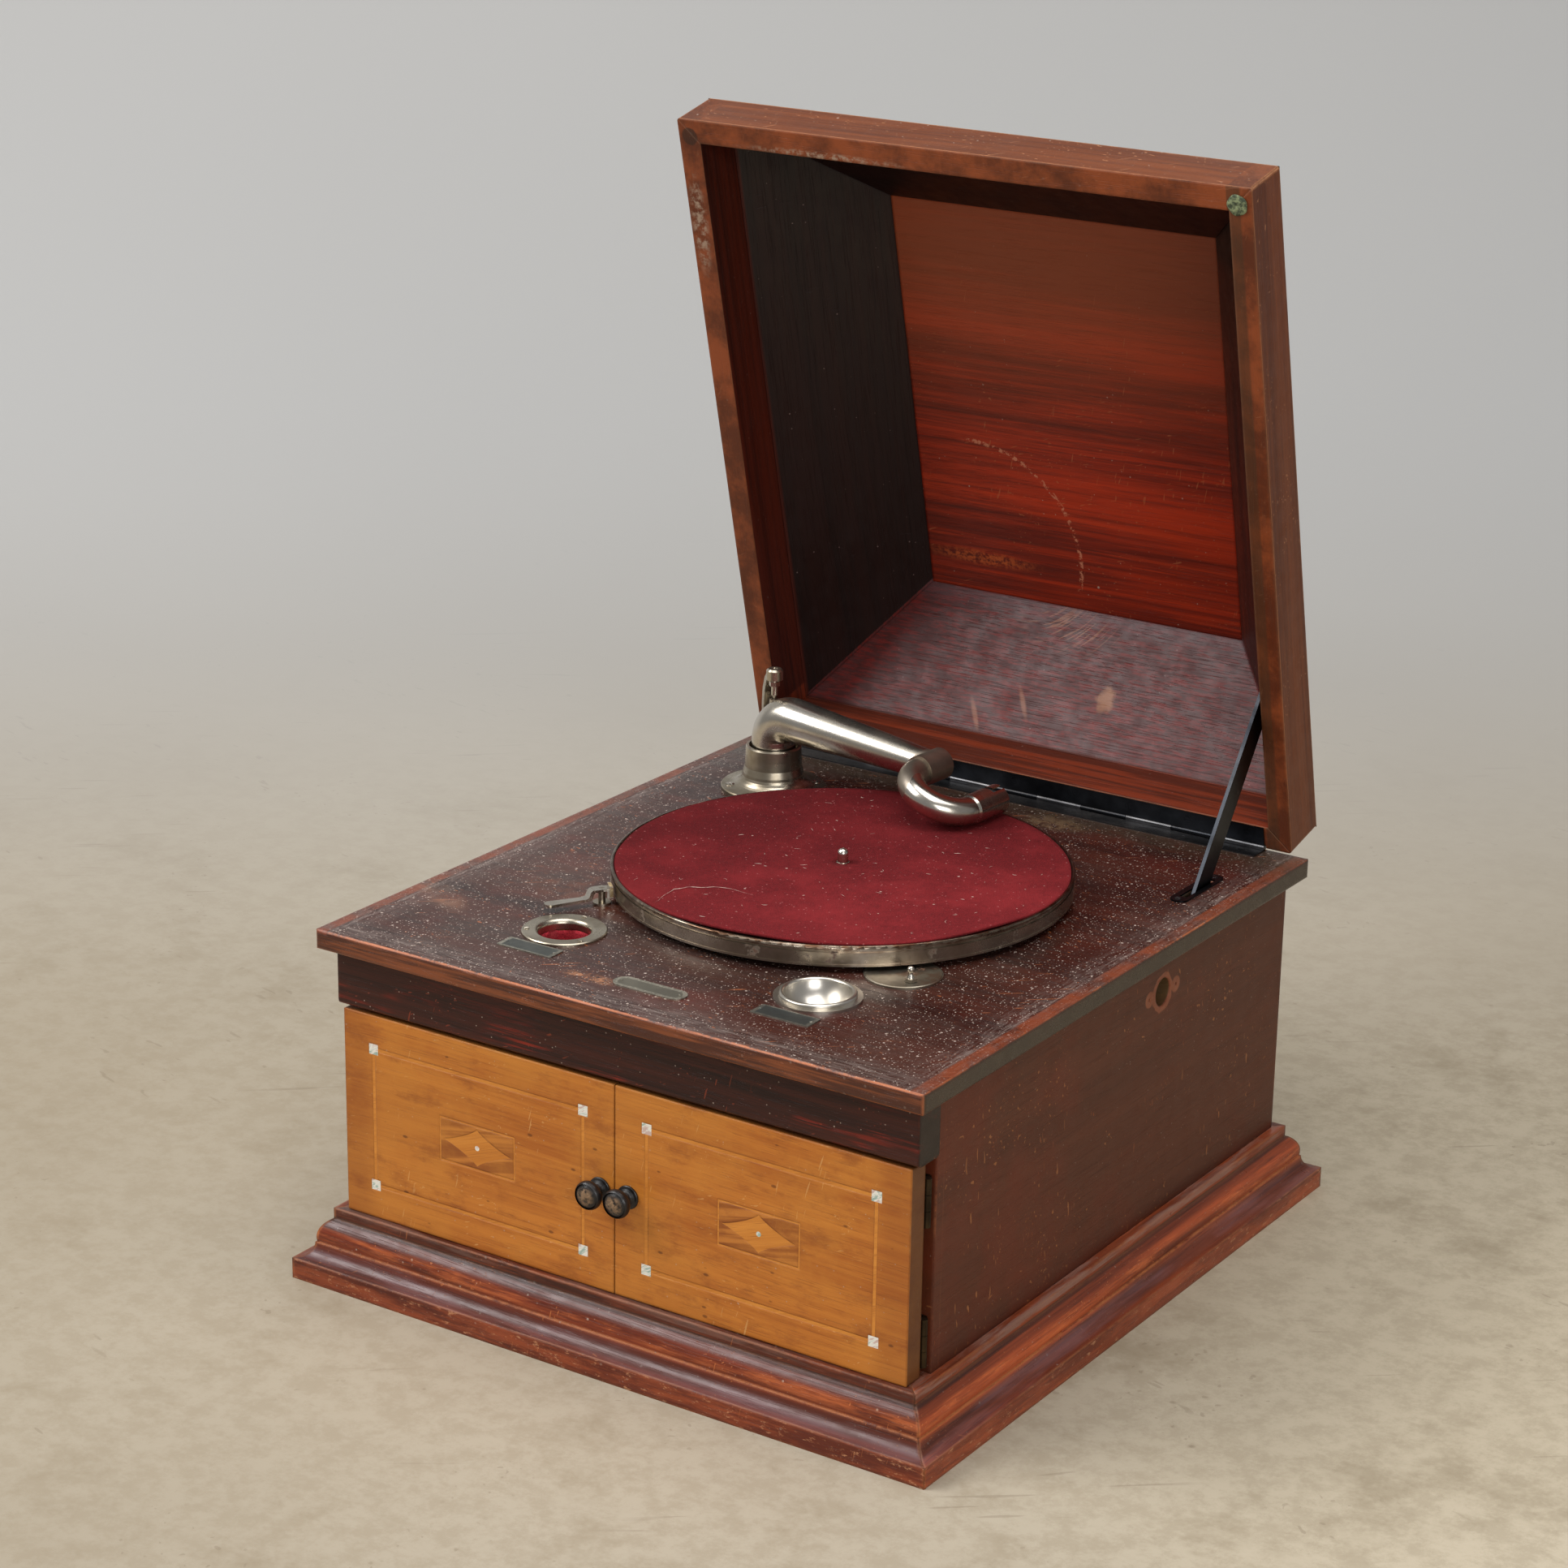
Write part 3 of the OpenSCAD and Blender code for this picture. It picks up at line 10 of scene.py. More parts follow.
# %% Load the frame
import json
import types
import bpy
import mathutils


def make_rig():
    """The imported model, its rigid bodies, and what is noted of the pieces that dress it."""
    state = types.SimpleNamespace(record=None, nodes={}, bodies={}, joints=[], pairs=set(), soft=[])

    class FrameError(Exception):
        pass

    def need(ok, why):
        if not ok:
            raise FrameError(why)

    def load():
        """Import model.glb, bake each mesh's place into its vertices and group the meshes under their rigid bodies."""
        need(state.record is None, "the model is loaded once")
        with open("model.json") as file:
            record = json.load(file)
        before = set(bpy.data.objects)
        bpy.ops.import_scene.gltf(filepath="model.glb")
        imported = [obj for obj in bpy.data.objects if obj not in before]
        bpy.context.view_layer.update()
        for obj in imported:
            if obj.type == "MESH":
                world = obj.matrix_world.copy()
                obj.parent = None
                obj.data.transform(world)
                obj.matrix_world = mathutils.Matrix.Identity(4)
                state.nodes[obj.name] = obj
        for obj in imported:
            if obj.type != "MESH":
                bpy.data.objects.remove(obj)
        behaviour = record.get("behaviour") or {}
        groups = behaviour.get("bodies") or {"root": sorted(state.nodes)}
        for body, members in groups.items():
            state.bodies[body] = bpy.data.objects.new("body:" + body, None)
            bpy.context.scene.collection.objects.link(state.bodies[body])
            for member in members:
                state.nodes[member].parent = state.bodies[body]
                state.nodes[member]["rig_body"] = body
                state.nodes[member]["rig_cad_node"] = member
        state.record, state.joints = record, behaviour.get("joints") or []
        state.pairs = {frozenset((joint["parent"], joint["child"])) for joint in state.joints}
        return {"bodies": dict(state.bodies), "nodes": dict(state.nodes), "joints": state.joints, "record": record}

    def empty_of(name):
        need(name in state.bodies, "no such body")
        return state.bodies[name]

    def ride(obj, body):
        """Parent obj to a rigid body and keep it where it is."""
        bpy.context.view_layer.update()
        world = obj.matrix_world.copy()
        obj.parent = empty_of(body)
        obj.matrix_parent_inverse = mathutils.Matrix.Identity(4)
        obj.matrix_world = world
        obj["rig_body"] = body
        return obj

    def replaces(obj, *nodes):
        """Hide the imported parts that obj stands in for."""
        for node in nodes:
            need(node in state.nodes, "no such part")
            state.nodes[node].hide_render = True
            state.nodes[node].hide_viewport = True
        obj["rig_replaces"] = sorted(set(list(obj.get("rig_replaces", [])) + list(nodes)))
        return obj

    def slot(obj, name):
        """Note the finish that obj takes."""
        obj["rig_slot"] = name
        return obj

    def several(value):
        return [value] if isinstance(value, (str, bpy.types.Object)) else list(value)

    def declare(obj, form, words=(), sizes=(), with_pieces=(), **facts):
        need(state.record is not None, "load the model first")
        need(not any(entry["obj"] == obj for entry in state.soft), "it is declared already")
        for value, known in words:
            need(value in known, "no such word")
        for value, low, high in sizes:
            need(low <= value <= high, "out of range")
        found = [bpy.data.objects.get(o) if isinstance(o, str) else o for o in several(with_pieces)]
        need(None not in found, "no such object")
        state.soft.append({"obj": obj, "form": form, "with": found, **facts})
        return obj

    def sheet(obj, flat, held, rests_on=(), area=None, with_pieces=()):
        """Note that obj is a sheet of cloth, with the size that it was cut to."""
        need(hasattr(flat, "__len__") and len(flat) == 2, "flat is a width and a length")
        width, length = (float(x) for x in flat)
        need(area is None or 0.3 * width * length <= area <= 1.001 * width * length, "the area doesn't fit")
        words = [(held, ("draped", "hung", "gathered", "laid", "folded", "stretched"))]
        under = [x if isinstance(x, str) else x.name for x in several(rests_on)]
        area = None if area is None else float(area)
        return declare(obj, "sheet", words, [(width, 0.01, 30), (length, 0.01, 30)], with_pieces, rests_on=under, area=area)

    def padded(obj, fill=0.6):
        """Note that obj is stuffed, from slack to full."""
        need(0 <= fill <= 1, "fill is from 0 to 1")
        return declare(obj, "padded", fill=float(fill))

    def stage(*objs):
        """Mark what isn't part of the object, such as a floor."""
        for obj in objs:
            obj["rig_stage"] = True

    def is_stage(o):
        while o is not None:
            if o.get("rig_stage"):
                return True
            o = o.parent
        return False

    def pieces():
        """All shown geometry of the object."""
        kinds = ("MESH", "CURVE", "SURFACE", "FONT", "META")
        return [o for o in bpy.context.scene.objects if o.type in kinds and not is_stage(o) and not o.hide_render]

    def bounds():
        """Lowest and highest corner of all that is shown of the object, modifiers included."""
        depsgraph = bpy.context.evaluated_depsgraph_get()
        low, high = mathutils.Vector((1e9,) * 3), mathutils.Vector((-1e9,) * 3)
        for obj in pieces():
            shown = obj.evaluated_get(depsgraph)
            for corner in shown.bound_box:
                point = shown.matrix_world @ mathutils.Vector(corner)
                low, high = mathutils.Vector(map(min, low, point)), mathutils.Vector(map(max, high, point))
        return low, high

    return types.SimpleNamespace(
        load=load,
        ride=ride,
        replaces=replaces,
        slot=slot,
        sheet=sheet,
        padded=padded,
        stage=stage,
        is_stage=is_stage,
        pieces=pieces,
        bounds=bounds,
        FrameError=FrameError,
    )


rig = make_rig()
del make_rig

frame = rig.load()
import json
import math

import bpy
import numpy as np
from mathutils import Vector

CAD_BOX = [list(corner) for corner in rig.bounds()]
DECK = 244.4
HINGE = (0.0, 243.5, 246.2)
LID_OPEN = math.radians(76.3)
SPINDLE = (4.0, 12.0)
ARM = (-147.2, 155.2)
VIEW_TURN = 33.8
NODES = frame["nodes"]
print(len(NODES), "CAD nodes on", len(frame["bodies"]), "bodies")

# %% [markdown]
# ## Camera
#
# The straight edges of a box tell where a photograph was taken from. These
# numbers were solved from the corners of the deck and the lid, so the render
# overlays the photograph and the two can be compared spot by spot.

# %% Camera
camera_data = bpy.data.cameras.new("camera")
camera_data.lens = 88.353
camera_data.clip_end = 50
camera = bpy.data.objects.new("camera", camera_data)
camera.location = (1.28063, -1.99009, 1.12406)
camera.rotation_euler = [math.radians(a) for a in (71.20834, -0.86366, 33.76819)]
bpy.context.collection.objects.link(camera)
bpy.context.scene.camera = camera
print("camera at", [round(v, 2) for v in camera.location])

# %% [markdown]
# ## Colours
#
# Colours are written as a screen shows them, from 0 to 255, because that is
# how they are judged. A shader reads linear light, so each one is turned
# into it.


# %% Colours
def rgb(r, g, b):
    """A display colour of 0 to 255 as the linear colour that a shader reads."""
    c = np.array([r, g, b]) / 255
    lin = np.where(c <= 0.04045, c / 12.92, ((c + 0.055) / 1.055) ** 2.4)
    return (*[float(v) for v in lin], 1.0)


print("mid grey is", round(rgb(128, 128, 128)[0], 3), "in linear light")

# %% [markdown]
# ## A short way to write shader nodes
#
# A material is a tree of small nodes. They could be placed by hand in the
# node editor, but long trees are hard to read and to change. `Net` adds
# nodes to one tree. Most of its methods return a node's output, so a pattern
# reads like a formula. `make_group` packs a pattern that many materials use.


# %% Shader kit
class Net:
    """Adds nodes to one shader tree; a value is a number, a tuple or another node's output."""

    def __init__(self, tree):
        self.tree = tree

    def wire(self, socket, value):
        if isinstance(value, bpy.types.NodeSocket):
            self.tree.links.new(value, socket)
        else:
            socket.default_value = value

    def put(self, kind, values=(), props=(), out=0):
        """A new node with its settings and inputs; gives the output numbered out, or all of them for None."""
        node = self.tree.nodes.new(kind)
        for key, value in dict(props).items():
            setattr(node, key, value)
        for key, value in dict(values).items():
            self.wire(node.inputs[key], value)
        return node.outputs if out is None else node.outputs[out]

    def use(self, group, **values):
        node = self.tree.nodes.new("ShaderNodeGroup")
        node.node_tree = group
        for key, value in values.items():
            self.wire(node.inputs[key], value)
        return node.outputs

    def math(self, op, a, b=0.0):
        return self.put("ShaderNodeMath", {0: a, 1: b}, {"operation": op})

    def add(self, a, b):
        return self.math("ADD", a, b)

    def minus(self, a, b):
        return self.math("SUBTRACT", a, b)

    def times(self, a, b):
        return self.math("MULTIPLY", a, b)

    def most(self, a, b):
        return self.math("MAXIMUM", a, b)

    def abs(self, a):
        return self.math("ABSOLUTE", a)

    def off(self, a, b):
        """How far a is from b, on either side."""
        return self.abs(self.minus(a, b))

    def vec(self, op, a, b=(0, 0, 0)):
        out = 1 if op in ("LENGTH", "DOT_PRODUCT") else 0
        return self.put("ShaderNodeVectorMath", {0: a, 1: b}, {"operation": op}, out)

    def split(self, vector):
        return self.put("ShaderNodeSeparateXYZ", {0: vector}, out=None)

    def join(self, x=0.0, y=0.0, z=0.0):
        return self.put("ShaderNodeCombineXYZ", {0: x, 1: y, 2: z})

    def scale(self, vector, by):
        """The vector times by, which is a number or one number for each axis."""
        by = by if isinstance(by, tuple) else (by, by, by)
        return self.put("ShaderNodeMapping", {"Vector": vector, "Scale": by})

    def turn(self, vector, degrees):
        values = {"Vector": vector, "Rotation": tuple(math.radians(a) for a in degrees)}
        return self.put("ShaderNodeMapping", values, {"vector_type": "VECTOR"})

    def facing(self):
        """The direction that a surface faces on the object."""
        return self.put("ShaderNodeTexCoord", out=1)

    def noise(self, vector, by, detail=2.0, rough=0.5, bend=0.0):
        """Cloudy noise; by is how many clouds fit in a metre, as in scale."""
        values = {"Vector": self.scale(vector, by), "Scale": 1.0, "Detail": detail, "Roughness": rough,
                  "Distortion": bend}
        return self.put("ShaderNodeTexNoise", values)

    def step(self, value, low, high, to=(0.0, 1.0)):
        """Smoothly from to[0] to to[1] as the value goes from low to high."""
        return self.put("ShaderNodeMapRange", {0: value, 1: low, 2: high, 3: to[0], 4: to[1]},
                        {"interpolation_type": "SMOOTHSTEP"})

    def band(self, value, rise, full, end, fall):
        """0 up to rise, 1 from full to fall, and 0 again from end."""
        return self.times(self.step(value, rise, full), self.step(value, end, fall))

    def patches(self, vector, by, detail, rough, low, high, to=(0.0, 1.0)):
        """Noise cut into patches: to[0] where it is below low, to[1] where it is above high."""
        return self.step(self.noise(vector, by, detail, rough), low, high, to)

    def mix(self, share, a, b):
        return self.put("ShaderNodeMix", {0: share, 6: a, 7: b}, {"data_type": "RGBA"}, 2)

    def layers(self, colour, *coats):
        """Lays coats of (share, display colour) over a colour, one after another."""
        for share, coat in coats:
            colour = self.mix(share, colour, rgb(*coat))
        return colour

    def paint(self, parts, share, colour, strength=1.0):
        """Lays a colour over the finish so far, by a share times a strength."""
        share = share if strength == 1.0 else self.times(share, strength)
        parts["Color"] = self.mix(share, parts["Color"], colour)

    def blob(self, vector, centre, radius, soft):
        """1 inside an ellipsoid, falling to 0 over the soft share of its radius."""
        away = self.vec("DIVIDE", self.vec("SUBTRACT", vector, centre), radius)
        return self.step(self.vec("LENGTH", away), 1 + soft, 1 - soft)


def make_group(name, inputs, outputs, build):
    """A node group: inputs as (label, kind, default), outputs as (label, kind)."""
    tree = bpy.data.node_groups.new(name, "ShaderNodeTree")
    for label, kind, value in inputs:
        socket = tree.interface.new_socket(label, in_out="INPUT", socket_type="NodeSocket" + kind)
        socket.default_value = value
    for label, kind in outputs:
        tree.interface.new_socket(label, in_out="OUTPUT", socket_type="NodeSocket" + kind)
    net, given, made = Net(tree), tree.nodes.new("NodeGroupInput"), tree.nodes.new("NodeGroupOutput")
    for label, value in build(net, given.outputs).items():
        net.wire(made.inputs[label], value)
    return tree


print("shader kit of", len([word for word in vars(Net) if word[0] != "_"]), "short words")

# %% [markdown]
# ## Wood grain
#
# Wood is a bundle of long fibres, so its pattern is noise stretched along
# one axis. Layers from broad bands down to single fibres give the tone, and
# dark pores are cut into it. A picture of wood would be quicker, but noise
# never repeats and needs no file. The grain runs along X of the vector that
# it gets, so a board is turned by turning that vector.


# %% Wood grain
def build_grain(net, given):
    """Noises of rising fineness are added up; the sum goes from the dark colour to the light one."""
    v = given["Vector"]
    drift = net.noise(v, (1.5, 6, 6), 1)
    bent = net.vec("ADD", v, net.join(0.0, net.times(drift, 0.03), net.times(drift, 0.03)))
    broad = net.noise(bent, (1.2, 44, 44), 3, 0.55)
    streak = net.noise(bent, (3, 280, 280), 4, 0.65)
    fibre = net.noise(bent, (9, 1500, 1500), 2, 0.6)
    pores = net.patches(bent, (22, 1900, 1900), 1, 0.5, 0.6, 0.7)
    figure = net.noise(bent, (2.5, 20, 20), 2, 0.5)
    tone = net.add(net.times(broad, 0.5), net.add(net.times(streak, 0.38), net.times(fibre, 0.12)))
    tone = net.add(tone, net.times(net.minus(figure, 0.5), given["Figure"]))
    colour = net.mix(net.step(tone, 0.36, 0.64), given["Dark"], given["Light"])
    colour = net.mix(net.times(pores, 0.4), colour, given["Pore"])
    height = net.minus(net.times(fibre, 0.25), net.times(pores, 0.5))
    return {"Color": colour, "Height": height}


GRAIN = make_group(
    "Wood grain",
    [("Vector", "Vector", (0, 0, 0)), ("Dark", "Color", (0, 0, 0, 1)), ("Light", "Color", (1, 1, 1, 1)),
     ("Pore", "Color", (0, 0, 0, 1)), ("Figure", "Float", 0.3)],
    [("Color", "Color"), ("Height", "Float")], build_grain)
print("group:", GRAIN.name)

# %% [markdown]
# ## Worn edges
#
# Polish wears off along edges, where hands and cloths catch. A rounded
# normal leans away from the true one only near an edge, so this lean is a
# mask that finds every edge without painting. Two noises break it into
# chips. An edge that is rounded in the shape itself is found by the way its
# surface turns.

# %% Worn edges
PLACE = ("Vector", "Vector", (0, 0, 0))
MASK = ("Mask", "Float")


def build_edges(net, given):
    """Lean is 1 minus the cosine between rounded and true normal; wear is where lean and noise are high."""
    soft = net.put("ShaderNodeBevel", {"Radius": given["Radius"]}, {"samples": 6})
    true = net.put("ShaderNodeNewGeometry", out=1)
    square = net.split(net.vec("ABSOLUTE", given["Facing"]))
    turned = net.minus(1.0, net.most(square[0], net.most(square[1], square[2])))
    lean = net.most(net.minus(1.0, net.vec("DOT_PRODUCT", soft, true)), turned)
    chips = net.noise(given["Vector"], 170, 4, 0.65)
    patchy = net.noise(given["Vector"], 16, 2)
    keep = net.add(net.times(chips, 0.5), net.times(patchy, 0.5))
    mask = net.times(net.step(lean, 0.01, 0.14), net.step(net.add(keep, given["Amount"]), 0.8, 1.0))
    return {"Mask": mask, "Normal": soft}


EDGES = make_group("Worn edges", [PLACE, ("Facing", "Vector", (0, 0, 1)), ("Radius", "Float", 0.003),
                                  ("Amount", "Float", 0.4)],
                   [MASK, ("Normal", "Vector")], build_edges)
print("group:", EDGES.name)

# %% [markdown]
# ## Dust and scratches
#
# Dust lies only on what faces up, thick in clouds and fine as grit. Scratches
# are the crests of noise stretched into long lines. Three directions and
# patches of their own keep them from looking combed.


# %% Dust and scratches
def build_dust(net, given):
    """Clouds times grit, times how far the surface faces up, times the amount."""
    up = net.split(net.facing())[2]
    cloud = net.noise(given["Vector"], 9, 5, 0.6)
    grit = net.noise(given["Vector"], 900, 2, 0.7)
    film = net.times(net.step(cloud, 0.4, 0.7), net.step(grit, 0.4, 0.62, (0.45, 1.0)))
    return {"Mask": net.times(net.times(film, net.step(up, 0.25, 0.85)), given["Amount"])}


def build_scratches(net, given):
    """Of each of three turned and stretched noises only the crest stays, inside patches of its own."""
    found = 0.0
    for degrees, seed in ((18, 0.0), (-34, 3.1), (71, 5.7)):
        v = net.vec("ADD", net.turn(given["Vector"], (degrees, degrees * 0.6, degrees)), (seed, seed, seed))
        line = net.noise(v, (5, 560, 560), 1, 0.4, 0.3)
        where = net.noise(v, (11, 26, 26), 1)
        found = net.most(net.times(net.step(line, 0.71, 0.74), net.step(where, 0.54, 0.62)), found)
    return {"Mask": net.times(found, given["Amount"])}


DUST = make_group("Settled dust", [PLACE, ("Amount", "Float", 0.5)], [MASK], build_dust)
SCRATCHES = make_group("Scratches", [PLACE, ("Amount", "Float", 0.5)], [MASK], build_scratches)
print("groups:", DUST.name, "and", SCRATCHES.name)

# %% [markdown]
# ## Specks and rust
#
# Specks of dirt and paint are small, round and scattered. A Voronoi pattern
# has one point in each cell, so it gives round spots without placing them.
# Rust starts in patches that break up into dots at their rims.


# %% Specks and rust
def build_specks(net, given):
    """A spot fills its cell up to a drawn size, and stays if its drawn chance is below the share."""
    spots = net.put("ShaderNodeTexVoronoi", {"Vector": given["Vector"], "Scale": given["Density"]}, out=None)
    chance = net.split(spots[1])
    size = net.times(chance[1], given["Size"])
    near = net.step(net.minus(spots[0], size), 0.03, -0.03)
    return {"Mask": net.times(near, net.math("LESS_THAN", chance[0], given["Share"]))}


def build_rust(net, given):
    """Coarse patches plus fine dots, above a threshold; the haze is a softer noise of its own."""
    v = given["Vector"]
    patch = net.noise(v, 45, 5, 0.7)
    dots = net.noise(v, 420, 3, 0.6)
    rust = net.step(net.add(net.times(patch, 0.7), net.add(net.times(dots, 0.3), given["Amount"])), 0.6, 0.7)
    haze = net.noise(v, 28, 4, 0.6)
    return {"Mask": rust, "Haze": net.step(haze, 0.35, 0.7)}


SPECKS = make_group("Specks", [PLACE, ("Density", "Float", 90.0), ("Size", "Float", 0.3),
                               ("Share", "Float", 0.3)], [MASK], build_specks)
RUST = make_group("Rust and haze", [PLACE, ("Amount", "Float", 0.0)], [MASK, ("Haze", "Float")], build_rust)
print(len(bpy.data.node_groups), "node groups")

# %% [markdown]
# ## From a finish to a material
#
# A finish is a function of its net and of the point on the object. It
# returns colour, roughness, height and the rest by name, and `material`
# links them to one shader. What is the same all over a surface is a constant
# on the shader's own socket, so that it survives an export.


# %% Material maker
def material(name, build, bump, **constants):
    """A Principled material; its finish gives Color, Roughness and Height; Height times bump is metres."""
    made = bpy.data.materials.new(name)
    made.use_nodes = True
    net = Net(made.node_tree)
    shader = made.node_tree.nodes["Principled BSDF"]
    given = build(net, net.put("ShaderNodeTexCoord", out=3))
    values = {"Height": given["Height"], "Distance": bump, "Strength": 1.0}
    if "Normal" in given:
        values["Normal"] = given["Normal"]
    net.wire(shader.inputs["Normal"], net.put("ShaderNodeBump", values))
    for key, socket in (("Color", "Base Color"), ("Roughness", "Roughness"), ("Metallic", "Metallic")):
        if key in given:
            net.wire(shader.inputs[socket], given[key])
    for key, value in constants.items():
        shader.inputs[key.replace("_", " ")].default_value = value
    return made


def dress(mat, *nodes):
    """Gives CAD nodes a material, in every slot they have."""
    for node in nodes:
        for place in NODES[node].material_slots:
            place.material = mat
    print(mat.name, "on", ", ".join(nodes))


DRY = {"Specular_IOR_Level": 0.3}
print("old varnish reflects", DRY)

# %% [markdown]
# ## An old varnished wood
#
# All the outer woods share one history: stain and varnish, then a century
# of handling. One function lays wear, scratches, dust and specks over the
# grain in the order in which they came, and each board adds its own marks
# with `paint`. Separate recipes for the boards would drift apart.


# %% Old wood
def old_wood(net, v, point, dark, light, pore, wear, *, figure, amount, dust, scratch, specks, radius=0.003,
             gloss=0.3, spread=0.24, facing=(0, 0, 1)):
    """Grain with worn edges, dust, scratches and two sizes of specks over it, as the parts of one finish."""
    grain = net.use(GRAIN, Vector=v, Dark=dark, Light=light, Pore=pore, Figure=figure)
    edge = net.use(EDGES, Vector=point, Facing=facing, Radius=radius, Amount=amount)
    dirt = net.use(DUST, Vector=point, Amount=dust)[0]
    lines = net.use(SCRATCHES, Vector=point, Amount=scratch)[0]
    spots = net.use(SPECKS, Vector=point, Density=150.0, Size=0.14, Share=specks)[0]
    fine = net.use(SPECKS, Vector=point, Density=420.0, Size=0.2, Share=net.times(specks, 0.7))[0]
    colour = net.mix(edge[0], grain[0], wear)
    colour = net.mix(net.times(lines, 0.7), colour, wear)
    colour = net.mix(dirt, colour, rgb(136, 122, 112))
    colour = net.mix(net.times(net.most(spots, fine), 0.6), colour, rgb(176, 156, 140))
    dull = net.add(net.noise(point, 70, 4, 0.6), net.times(net.add(dirt, edge[0]), 0.3))
    return {"Color": colour, "Height": net.minus(grain[1], net.times(lines, 0.5)), "Normal": edge[1],
            "Roughness": net.step(dull, 0.2, 1.0, (gloss, gloss + spread))}


print("old wood uses", ", ".join(group.name for group in (GRAIN, EDGES, DUST, SCRATCHES, SPECKS)))

# %% [markdown]
# ## Deck
#
# The deck is the board that is used and seen most. Its varnish is nearly
# black, red where it has thinned, and a pale film has dried along the
# borders; the pale line along each border, where the board starts to round,
# is a painted highlight. Marks that sit at one place, such as the bare spot
# by the hinge, are soft ellipsoids whose places were read off the
# photograph. The dirt on top is a two-dimensional pattern, because it lies
# on a flat board.

# %% Deck
BORDERS = (0.2155, 0.2345)
# turned by, centre, size, softness, coarse noise or fine, its range, share of colour, colour
DECK_MARKS = (
    (0, (0.052, 0.208), (0.02, 0.012, 0.02), 0.5, False, (0.4, 0.55), (0.0, 0.8), (122, 96, 70)),
    (0, (-0.036, -0.2125), (0.017, 0.0055, 0.02), 0.5, False, (0.45, 0.6), (0.0, 0.8), (168, 112, 76)),
    (0, (-0.125, -0.085), (0.045, 0.03, 0.02), 0.7, True, (0.42, 0.62), (0.0, 0.7), (104, 56, 36)),
    (30, (-0.1022, -0.2323), (0.026, 0.009, 0.03), 0.8, True, (0.36, 0.58), (0.1, 0.65), (150, 108, 84)),
)


def deck_wood(net, point):
    """Over the worn wood: red and black clouds, the front edge, pale borders with painted highlight lines, dirt, and
    single marks.
    """
    square = net.facing()
    forward = net.times(net.split(square)[1], -1.0)
    parts = old_wood(net, point, point, rgb(38, 17, 13), rgb(64, 29, 20), rgb(24, 11, 9), rgb(176, 98, 52),
                     figure=0.15, amount=net.step(forward, 0.2, 0.7, (0.34, 0.47)), dust=0.12, scratch=1.0,
                     specks=0.5, gloss=0.2, facing=square)
    x, y, z = net.split(point)[:3]
    # the varnish has clouds of red and of black
    red = net.patches(point, (8, 12, 12), 5, 0.65, 0.5, 0.72, (0.0, 0.6))
    net.paint(parts, red, rgb(88, 32, 21))
    black = net.patches(point, (13, 20, 20), 4, 0.6, 0.58, 0.75, (0.0, 0.6))
    net.paint(parts, black, rgb(34, 15, 13))
    # the front edge is rubbed in streaks
    top = net.step(z, 0.2438, 0.2443)
    front = net.times(net.step(forward, 0.6, 0.9), net.step(z, 0.2436, 0.243))
    streaks = net.patches(point, (9, 200, 200), 4, 0.7, 0.42, 0.62)
    net.paint(parts, front, net.mix(streaks, rgb(74, 36, 22), rgb(136, 72, 38)), 0.75)
    # a pale film lies along the borders and ends in a line, which is a painted highlight where the board starts to
    # round
    fine = net.noise(point, 150, 5, 0.8)
    bands = []
    sides = ((net.abs(x), BORDERS[0], (520, 60, 60)), (net.times(y, -1.0), BORDERS[1], (60, 520, 60)))
    for across, edge, along in sides:
        line = net.step(net.off(across, edge), 0.0035, 0.0005)
        haze = net.step(across, edge - 0.022, edge, (0.0, 0.55))
        streaky = net.patches(point, along, 5, 0.8, 0.4, 0.66)
        bands.append(net.times(net.most(line, haze), streaky))
    film = net.times(net.most(*bands), top)
    net.paint(parts, film, rgb(152, 136, 128), 0.55)
    # dirt in two sizes
    for density, size, share in ((150.0, 0.13, 0.3), (420.0, 0.2, 0.45)):
        spots = net.put("ShaderNodeTexVoronoi", {"Vector": point, "Scale": density},
                        {"voronoi_dimensions": "2D"}, None)
        chance = net.split(spots[1])
        near = net.step(net.minus(spots[0], net.times(chance[1], size)), 0.04, -0.04)
        mites = net.times(net.times(near, net.math("LESS_THAN", chance[0], share)), top)
        net.paint(parts, mites, rgb(196, 178, 166), 0.75)
    # single marks
    coarse = net.noise(point, 30, 5, 0.7)
    for turned, centre, size, soft, is_coarse, (low, high), share, colour in DECK_MARKS:
        vector = net.turn(point, (0, 0, turned)) if turned else point
        place = net.blob(vector, (*centre, DECK / 1000), size, soft)
        broken = net.step(coarse if is_coarse else fine, low, high, share)
        net.paint(parts, net.times(place, broken), rgb(*colour))
    # rubbed side edges, the flanks, and the strip by the hinge
    rub = net.times(net.step(net.abs(x), 0.2172, 0.2193), net.step(coarse, 0.36, 0.6, (0.15, 0.75)))
    net.paint(parts, net.times(rub, net.step(z, 0.241, 0.2425)), rgb(128, 62, 36))
    flank = net.step(net.abs(net.split(square)[0]), 0.6, 0.9)
    net.paint(parts, flank, net.mix(coarse, rgb(48, 38, 29), rgb(64, 52, 38)), 0.9)
    back = net.times(net.step(y, 0.188, 0.225), top)
    net.paint(parts, net.times(back, net.step(fine, 0.3, 0.6, (0.2, 0.6))), rgb(66, 58, 46))
    return parts


dress(material("deck_wood", deck_wood, 0.00015, Specular_IOR_Level=0.45), "deck")

# %% [markdown]
# ## Sides of the case
#
# The side panels are plain and matt. The right one has the hole for the
# crank. A metal ring once sat round it and kept the light off, so a pale
# disc with two ears is left. Distance from the hole's axis draws the disc,
# and the same distance finds the bored wall, which was never stained and
# is painted darker as painted shade inside the hole.

# %% Sides of the case
CRANK_HOLE = (0.217, 0.0636, 0.2046)
EARS = (0.0462, 0.0810)


